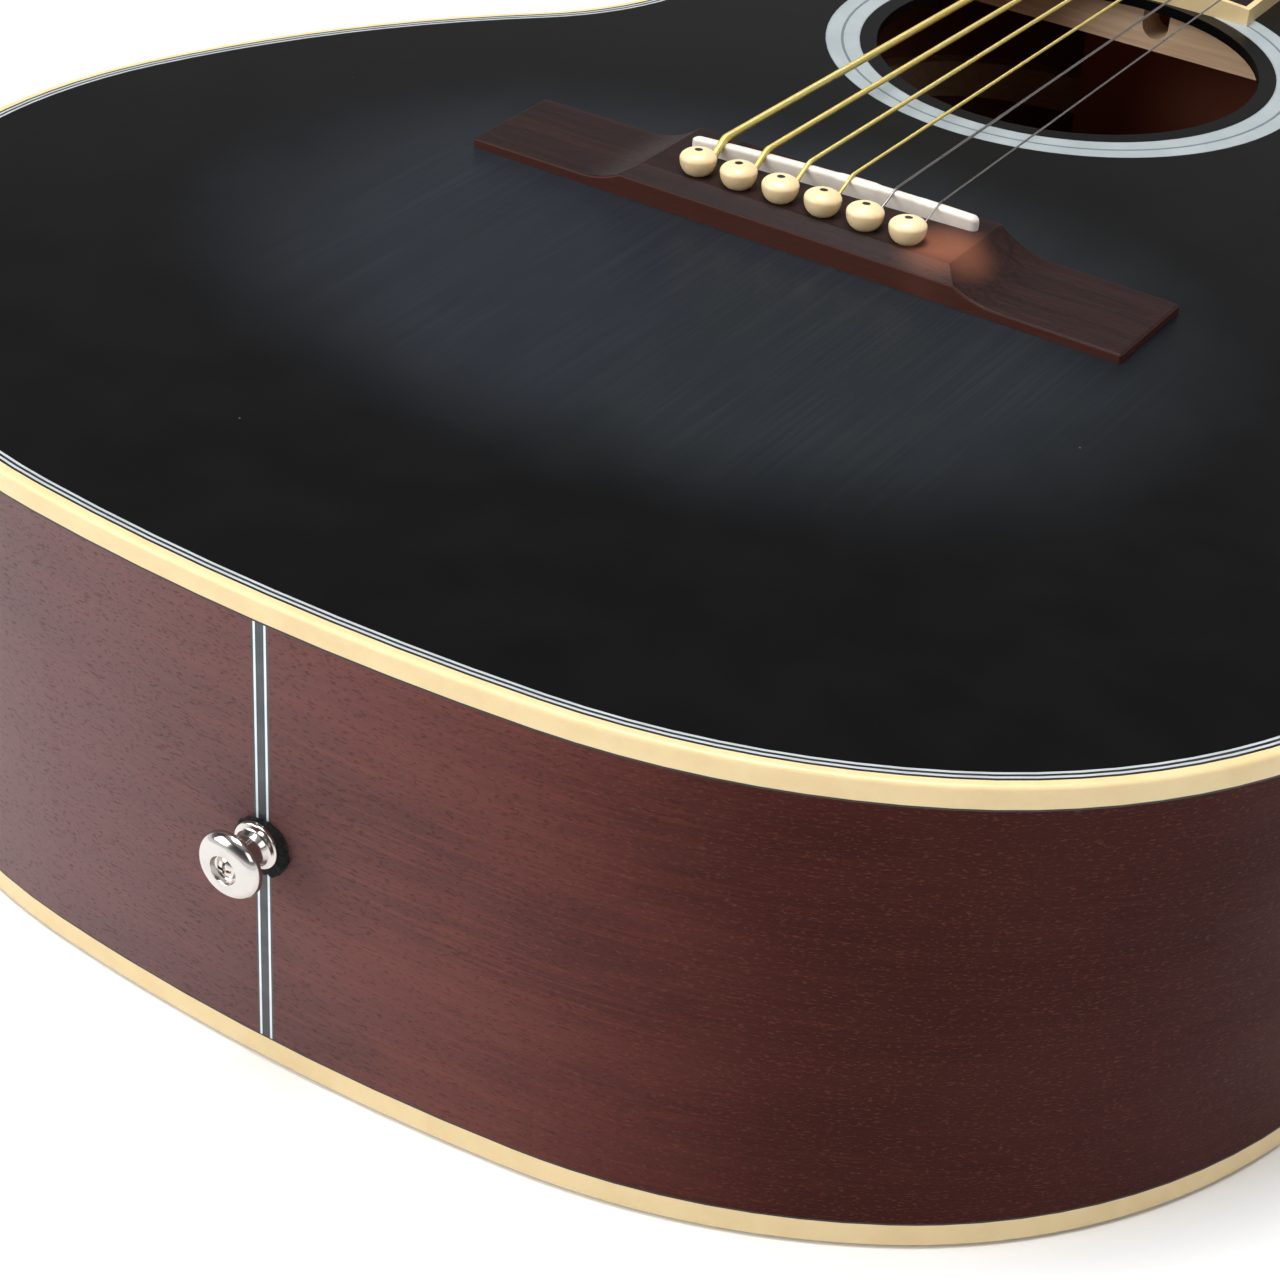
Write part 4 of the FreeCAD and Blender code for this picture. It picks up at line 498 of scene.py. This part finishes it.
def rounded(corners, steps=6):
    """Line through 3-D corners (point, radius) with an arc at each inner corner."""
    points = [corners[0][0]]
    for (before, _), (corner, radius), (after, _) in zip(corners, corners[1:], corners[2:]):
        back, onward = (before - corner), (after - corner)
        reach = 0.48 * min(back.length, onward.length)
        back.normalize()
        onward.normalize()
        half = back.angle(onward) / 2
        if radius <= 0 or half > STRAIGHT:
            points.append(corner)
            continue
        setback = min(radius / math.tan(half), reach)
        bend = setback * math.tan(half)
        centre = corner + (back + onward).normalized() * (bend / math.sin(half))
        first = (corner + back * setback - centre).normalized()
        last = (corner + onward * setback - centre).normalized()
        points += [centre + first.slerp(last, k / steps) * bend for k in range(steps + 1)]
    points.append(corners[-1][0])
    return points


def profile(corners, steps=6):
    """Rounded (radius, height) profile from (radius, height, corner radius) triples."""
    line = rounded([(Vector((r, h, 0)), bend) for r, h, bend in corners], steps)
    return [(p.x, p.y) for p in line]


def lathe(line, steps=64, wide=1.0):
    """Surface turned about Z through (radius, height) points; wide stretches it along X."""
    verts, faces, rings = [], [], []
    for radius, height in line:
        if radius < 1e-6:
            rings.append([len(verts)])
            verts.append(Vector((0, 0, height)))
            continue
        rings.append(list(range(len(verts), len(verts) + steps)))
        for k in range(steps):
            angle = 2 * math.pi * k / steps
            x, y = wide * radius * math.cos(angle), radius * math.sin(angle)
            verts.append(Vector((x, y, height)))
    for lower, upper in zip(rings, rings[1:]):
        for k in range(steps):
            n = (k + 1) % steps
            if len(lower) == 1:
                faces.append((lower[0], upper[k], upper[n]))
            elif len(upper) == 1:
                faces.append((lower[k], upper[0], lower[n]))
            else:
                faces.append((lower[k], upper[k], upper[n], lower[n]))
    return verts, faces


def tube(points, radius, sides):
    """Round wire along points, closed at both ends."""
    verts, faces = [], []
    tangent = (points[1] - points[0]).normalized()
    side = tangent.orthogonal().normalized()
    for k, point in enumerate(points):
        ahead = points[min(k + 1, len(points) - 1)] - points[max(k - 1, 0)]
        ahead.normalize()
        side = (side - ahead * side.dot(ahead)).normalized()
        up = ahead.cross(side)
        for j in range(sides):
            angle = 2 * math.pi * j / sides
            verts.append(point + (side * math.cos(angle) + up * math.sin(angle)) * radius)
    for k in range(len(points) - 1):
        for j in range(sides):
            n = (j + 1) % sides
            a, b = k * sides, (k + 1) * sides
            faces.append((a + j, a + n, b + n, b + j))
    faces.append(tuple(range(sides))[::-1])
    faces.append(tuple(range(len(verts) - sides, len(verts))))
    return verts, faces


def moved(shape, matrix):
    """The shape carried by a matrix."""
    return [matrix @ v for v in shape[0]], shape[1]


def joined(shapes):
    """Several shapes as one."""
    verts, faces = [], []
    for some, rest in shapes:
        start = len(verts)
        verts += some
        faces += [tuple(start + k for k in face) for face in rest]
    return verts, faces


CREASE = math.radians(40.0)  # edges sharper than this stay sharp


def piece(name, shape, look, body="guitar", place=BOARD, nodes=()):
    """Adds a mesh piece that rides on a body and stands for CAD nodes."""
    verts, faces = shape
    mesh = bpy.data.meshes.new(name)
    mesh.from_pydata([place @ v for v in verts], [], faces)
    work = bmesh.new()
    work.from_mesh(mesh)
    bmesh.ops.recalc_face_normals(work, faces=work.faces)
    for edge in work.edges:
        edge.smooth = len(edge.link_faces) == 2 and edge.calc_face_angle(0) < CREASE
    for face in work.faces:
        face.smooth = True
    work.to_mesh(mesh)
    work.free()
    item = bpy.data.objects.new(name, mesh)
    bpy.context.scene.collection.objects.link(item)
    mesh.materials.append(LOOKS[look])
    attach(item, body)
    if nodes:
        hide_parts(*nodes)


# ---------------------------------------------------------------- places along the strings


def across(index, step):
    """X of string or pin number index, 0 the lowest."""
    return (index - 2.5) * step


def saddle_line(x):
    """Y of the slanted saddle's middle."""
    return SADDLE_Y + x * math.tan(SADDLE_TURN)


def saddle_crown(x):
    """Height of the saddle's arched top."""
    return SADDLE_TOP - x ** 2 / SADDLE_CAMBER


# ---------------------------------------------------------------- strings and their coils

TURNS = {6: 3, 5: 3, 4: 4, 3: 4, 2: 6, 1: 7}
LAST_WOUND = 3  # strings 6 to 3 are wound
WOUND_FULLNESS, PLAIN_FULLNESS = 1.40, 1.60  # drawn fuller than their nominal diameters


def make_strings():
    """Strings from their ball ends over saddle and nut to their posts."""
    head_to_board = BOARD.inverted() @ HEAD
    ball_line = profile([(0.7, -1.5, 0), (2.0, -1.5, 0.4), (1.5, 0, 0.8), (2.0, 1.5, 0.4),
                         (0.7, 1.5, 0), (0.7, -1.5, 0)], 3)
    for index, diameter in enumerate(DIAMETERS):
        number = 6 - index
        wound = number >= LAST_WOUND
        radius = diameter / 2 * (WOUND_FULLNESS if wound else PLAIN_FULLNESS)
        side, y = POSTS[number]
        x = across(index, PIN_STEP)
        slot_y = PIN_FRONT_Y + radius
        reach = POST_RADIUS + radius + 0.02
        pitch = 2 * radius * 1.04
        low = POST_HOLE_Z - TURNS[number] * pitch
        nx = across(index, NUT_STEP)
        nut_z = BOARD_TOP - nx ** 2 / BOARD_CAMBER + NUT_RISE + radius
        end = head_to_board @ Vector((side * (POST_ACROSS - reach), y, low))
        route = [(Vector((x, slot_y, -8.0)), 0),
                 (Vector((x, slot_y, BRIDGE_TOP - 0.5)), 1.6),
                 (Vector((x, saddle_line(x), saddle_crown(x) + radius + SADDLE_LIFT)), 3.0),
                 (Vector((nx, NUT_FAR_Y, nut_z)), 5.0),
                 (end, 0)]
        look = "bronze" if wound else "plain_string"
        wire = tube(rounded(route, 8), radius, 14)
        lying = Matrix.Translation((x, slot_y, -9.2)) @ Matrix.Rotation(math.pi / 2, 4, "Y")
        ball = moved(lathe(ball_line, 24), lying)
        piece(f"wire_{number}", joined([wire, ball]), look, nodes=[f"string_{number}"])
        make_coil(number, side, y, radius, reach, pitch, look)


def make_coil(number, side, y, radius, reach, pitch, look):
    """Coils wound down the post from its hole, and the cut end that sticks out of the hole."""
    steps = 36
    turns = TURNS[number]
    centre = Vector((side * POST_ACROSS, y, 0))
    points = []
    for k in range(turns * steps + 1):
        angle = math.pi * 2 * k / steps
        height = POST_HOLE_Z - turns * pitch + pitch * k / steps
        points.append(centre + Vector((-side * reach * math.cos(angle), reach * math.sin(angle),
                                       height)))
    inside = centre + Vector((0, 0, POST_HOLE_Z))
    lead = points[-1]
    tail = [(lead, 0), (lead + Vector((0, 0.6, 0.05)), 0.3),
            (inside + Vector((-side * 1.2, 0, 0)), 0.6),
            (inside + Vector((side * 3.6, 0, 0)), 1.0),
            (inside + Vector((side * 5.6, 0.6, 0.9)), 0)]
    points += rounded(tail, 5)[1:]
    piece(f"coil_{number}", tube(points, radius, 10), look, body=f"post_{number}", place=HEAD)


# ---------------------------------------------------------------- bridge fittings

PIN_TILT = 0.05  # radians either way
PIN_HEAD_RADIUS, PIN_HEAD_Z = 4.42, 3.62  # where the head is widest


def make_pins():
    """Turned pins with ball heads, each seated a little differently, and their inlaid dots."""
    line = profile([(0.001, -21.5, 0), (1.7, -21.5, 0.4), (2.0, -20.0, 0.3), (2.3, 0.0, 0)], 3)
    for k in range(36):
        angle = math.radians(-62 + 4 * k)
        tall, fullness = (4.3, 0.80) if angle < 0 else (2.25, 0.88)
        line.append((PIN_HEAD_RADIUS * math.cos(angle) ** fullness,
                     PIN_HEAD_Z + tall * math.sin(angle)))
    line += [(1.02, 5.79), (0.97, 5.70), (0.95, 5.40), (0.94, 5.0), (0, 5.0)]
    dot = [(0, 5.63), (0.45, 5.64), (0.75, 5.68), (0.95, 5.72), (0.95, 4.9), (0, 4.9)]
    pins, dots = [], []
    for index in range(6):
        lean = Matrix.Rotation(random.uniform(-PIN_TILT, PIN_TILT), 4, "X")
        tilt = lean @ Matrix.Rotation(random.uniform(-PIN_TILT, PIN_TILT), 4, "Y")
        seat = Matrix.Translation((across(index, PIN_STEP), 0, BRIDGE_TOP)) @ tilt
        pins.append(moved(lathe(line, 64), seat))
        dots.append(moved(lathe(dot, 32), seat))
    piece("turned_pins", joined(pins), "pin_cream", nodes=["bridge_pins"])
    piece("turned_pin_dots", joined(dots), "pin_dot", nodes=["bridge_pin_dots"])


def saddle_section(s, half, thick):
    """The saddle cut across at s along its length, from foot to foot over the crest."""
    low, edge = 2.9, 1.05
    near_end = max(0.0, abs(s) - (half - thick)) / thick
    width = thick * math.sqrt(max(1 - near_end ** 2, 0.02))
    top = saddle_crown(s + SADDLE_OFFSET) + 0.32 - 0.9 * near_end ** 2
    crest = -0.55 * width
    for at_x, shift in ((1.2, 0.75), (11.7, -1.1), (21.7, 0.7)):
        crest += shift * width / (1 + math.exp(-(s - at_x) / 0.35))
    crest = max(-0.6 * width, min(0.6 * width, crest))
    angles = [math.radians(15 * j) for j in range(1, 6)]
    back = [(-width + (crest + width) * (1 - math.cos(a)) * 0.98, top - edge * (1 - math.sin(a)))
            for a in angles]
    front = [(width - (width - crest) * (1 - math.sin(a)) * 0.98, top - edge * (1 - math.cos(a)))
             for a in angles]
    return ([(-width, low), (-width, top - edge)] + back + [(crest, top)] + front
            + [(width, top - edge), (width, low)])


def make_saddle():
    """Bone saddle: rounded ends, arched top and a crest stepped back under the second string."""
    half, thick = 37.3, 1.6
    stations = 145
    verts, faces = [], []
    for k in range(stations):
        s = -half + 2 * half * k / (stations - 1)
        verts += [Vector((s, a, b)) for a, b in saddle_section(s, half, thick)]
    ring = len(verts) // stations
    for k in range(stations - 1):
        for j in range(ring):
            n = (j + 1) % ring
            a, b = k * ring, (k + 1) * ring
            faces.append((a + j, b + j, b + n, a + n))
    faces += [tuple(range(ring)), tuple(range(len(verts) - ring, len(verts)))[::-1]]
    seat = Matrix.Translation((SADDLE_OFFSET, saddle_line(SADDLE_OFFSET), 0))
    slant = seat @ Matrix.Rotation(SADDLE_TURN, 4, "Z")
    piece("carved_saddle", moved((verts, faces), slant), "bone", nodes=["saddle"])


# ---------------------------------------------------------------- strap button

RAGS = ((0.6, 0.30), (1.7, 0.20), (5.0, 0.12))  # fineness and share of the felt's unevenness


def make_strap_button():
    """Turned mushroom button and a slightly ragged felt washer, on an axis out of the tail."""
    out = Matrix.Translation((0, TAIL_Y, STRAP_Z)) @ Matrix.Rotation(math.pi / 2, 4, "X")
    line = profile([(2.1, 1.4, 0), (5.3, 1.4, 0.3), (5.3, 2.5, 0.55), (4.1, 3.0, 0.9),
                    (3.4, 4.4, 1.4), (3.45, 6.8, 2.0), (4.8, 8.3, 1.6), (7.2, 8.95, 0.25)], 10)
    for k in range(25):
        angle = math.radians(-30 + 120 * k / 24)
        tall, flare = (2.65, 1.0) if angle > 0 else (0.8, 0.3)
        line.append((3.65 + 3.85 * math.cos(angle * flare), 9.6 + tall * math.sin(angle)))
    screw_seat = [(3.65, 12.25, 0), (3.2, 12.2, 0.25), (3.0, 10.75, 0.5), (2.0, 10.5, 0)]
    line += profile(screw_seat, 8)[1:]
    piece("turned_strap_button", moved(lathe(line, 128), out), "nickel", nodes=["strap_button"])
    rim = profile([(3.4, 0.05, 0), (6.5, 0.05, 0.35), (6.5, 1.42, 0.5), (3.4, 1.38, 0)], 6)
    verts, faces = lathe(rim, 144)
    ragged = []
    for v in verts:
        pull = sum(noise.noise(v * fineness) * share for fineness, share in RAGS)
        flat = Vector((v.x, v.y, 0))
        edge = min(1.0, max(0.0, (flat.length - 4.6) / 1.4))
        shift = Vector((0.2, -1.1, pull * 0.5 * edge))
        ragged.append(v + flat.normalized() * pull * edge * 1.6 + shift)
    piece("felt_washer", moved((ragged, faces), out), "felt", nodes=["strap_button_felt"])


# ---------------------------------------------------------------- tuner buttons

def make_tuner_buttons():
    """Oval buttons with shallow thumb dishes and a round collar on the worm's shaft."""
    half_wide, half_long, half_thick = BUTTON_WIDTH / 2, BUTTON_LENGTH / 2, 3.5
    upper = []
    for k in range(19):
        a = math.pi / 2 * k / 18
        width = math.cos(a) ** 0.42 if k < 18 else 0.0
        dish = 0.45 * (1 - min(1.0, width / 0.8) ** 2)
        upper.append((width * half_wide, half_thick * math.sin(a) ** 0.85 - dish))
    line = [(w, -h) for w, h in upper[::-1]] + upper[1:]
    collar_line = profile([(1.65, 0, 0), (2.9, 0, 0.3), (3.3, 1.2, 0.4), (2.6, 2.2, 0.8),
                           (2.9, 5.5, 0)], 5)
    for number, (side, y) in POSTS.items():
        centre = Vector((side * POST_ACROSS, y, 0)) + WORM_FROM_POST
        oval = moved(lathe(line, 72, wide=half_long / half_wide),
                     Matrix.Translation((side * BUTTON_MIDDLE, 0, 0)))
        turn = Matrix.Rotation(side * math.pi / 2, 4, "Y")
        collar = moved(lathe(collar_line, 40), Matrix.Translation((side * BUTTON_NEAR, 0, 0)) @ turn)
        piece(f"oval_button_{number}", moved(joined([oval, collar]), Matrix.Translation(centre)),
              "button_cream", body=f"tuner_knob_{number}", place=HEAD,
              nodes=[f"tuner_button_{number}"])


# ---------------------------------------------------------------- side dots

def fret_line(fret):
    """Y of a fret by the equal-tempered rule; fret 0 is the nut."""
    return NUT_FAR_Y - NUT_THICKNESS - SCALE_LENGTH * (1 - 2 ** (-fret / 12))


def make_side_dots():
    """Black dots let into the bass edge of the fretboard binding, two of them at the octave."""
    dots = []
    dot = lathe([(0, 0.06), (0.6, 0.06), (0.95, 0.03), (1.0, -0.4), (0, -0.4)], 24)
    nut = fret_line(0)
    for fret, shift in ((3, 0), (5, 0), (7, 0), (9, 0), (12, -4.0), (12, 4.0), (15, 0)):
        middle = (fret_line(fret - 1) + fret_line(fret)) / 2 + shift
        half = HALF_AT_NUT + (nut - middle) / (nut - BOARD_END) * (HALF_AT_END - HALF_AT_NUT)
        turn = Matrix.Translation((-half, middle, 3.2)) @ Matrix.Rotation(-math.pi / 2, 4, "Y")
        dots.append(moved(dot, turn))
    piece("side_dots", joined(dots), "pin_dot")


make_strings()
make_pins()
make_saddle()
make_strap_button()
make_tuner_buttons()
make_side_dots()

# ---------------------------------------------------------------- floor, light and camera


def make_floor():
    """Wide pale floor, a hair under the guitar."""
    mesh = bpy.data.meshes.new("floor")
    half, low = 14.0, -0.0006
    corners = [(-half, -half, low), (half, -half, low), (half, half, low), (-half, half, low)]
    mesh.from_pydata(corners, [], [(0, 1, 2, 3)])
    floor = bpy.data.objects.new("floor", mesh)
    bpy.context.scene.collection.objects.link(floor)
    s = Shader("floor_paper", Roughness=0.9)
    cloud = s.span(s.noise(s.spot(), 0.01, 3.0), 0.3, 0.7)
    s.put("Base Color", s.mix(cloud, (0.90, 0.90, 0.90, 1), (0.88, 0.88, 0.88, 1)))
    mesh.materials.append(s.material)


def make_world():
    """Pale at the horizon and darker above, like a studio with its softboxes off to the sides."""
    world = bpy.data.worlds.new("studio")
    bpy.context.scene.world = world
    world.use_nodes = True
    tree = world.node_tree
    back = tree.nodes["Background"]
    coords = tree.nodes.new("ShaderNodeTexCoord")
    parts = tree.nodes.new("ShaderNodeSeparateXYZ")
    ramp = tree.nodes.new("ShaderNodeValToRGB")
    tree.links.new(coords.outputs["Generated"], parts.inputs[0])
    tree.links.new(parts.outputs[2], ramp.inputs[0])
    tree.links.new(ramp.outputs[0], back.inputs[0])
    stops = ramp.color_ramp.elements
    stops[0].position, stops[0].color = 0.0, (1.15, 1.15, 1.15, 1)
    stops[1].position, stops[1].color = 1.0, (0.55, 0.56, 0.57, 1)
    for position, value in ((0.06, 1.1), (0.22, 0.24), (0.44, 0.09), (0.74, 0.06)):
        stop = stops.new(position)
        stop.color = (value, value, value * 1.02, 1)
    back.inputs[1].default_value = 1.0


def softbox(name, location, target, width, height, power):
    """Rectangular light in metres and watts, turned to its target."""
    light = bpy.data.lights.new(name, "AREA")
    light.shape = "RECTANGLE"
    light.size, light.size_y = width, height
    light.energy = power
    item = bpy.data.objects.new(name, light)
    item.location = location
    aim = Vector(target) - Vector(location)
    item.rotation_euler = aim.to_track_quat("-Z", "Y").to_euler()
    bpy.context.scene.collection.objects.link(item)


CAMERA_PLACE = (292.62, -544.98, 299.10)  # in the soundboard frame
CAMERA_AZIMUTH, CAMERA_ELEVATION, CAMERA_ROLL = 31.0045, 33.851, 3.963
CAMERA_LENS, CAMERA_SENSOR = 82.4745, 36.0


def make_camera():
    """Camera beyond the tail on the treble side, looking down along the guitar, rolled a little."""
    azimuth, elevation = math.radians(CAMERA_AZIMUTH), math.radians(CAMERA_ELEVATION)
    roll = math.radians(CAMERA_ROLL)
    forward = Vector((-math.sin(azimuth) * math.cos(elevation),
                      math.cos(azimuth) * math.cos(elevation), -math.sin(elevation)))
    level = Vector((math.cos(azimuth), math.sin(azimuth), 0))
    right = level * math.cos(roll) + level.cross(forward) * math.sin(roll)
    up = right.cross(forward)
    turn = Matrix((right, up, -forward)).transposed().to_4x4()
    place = BOARD @ Matrix.Translation(CAMERA_PLACE) @ turn
    facing = place.to_quaternion().to_matrix().to_4x4()
    camera = bpy.data.objects.new("camera", bpy.data.cameras.new("camera"))
    camera.matrix_world = Matrix.Translation(place.translation) @ facing
    camera.data.lens, camera.data.sensor_width = CAMERA_LENS, CAMERA_SENSOR
    camera.data.clip_start, camera.data.clip_end = 0.01, 60.0
    bpy.context.scene.collection.objects.link(camera)
    bpy.context.scene.camera = camera


make_floor()
make_world()
softbox("key", (-0.15, -0.30, 2.4), (0.0, -0.2, 0.1), 1.3, 1.1, 66.0)
softbox("front", (-1.5, -2.0, 1.3), (0.0, -0.4, 0.05), 1.6, 1.4, 44.0)
softbox("side", (2.0, -1.2, 1.5), (0.0, -0.2, 0.05), 1.2, 1.2, 10.0)
make_camera()
bpy.context.scene.view_settings.view_transform = "Standard"
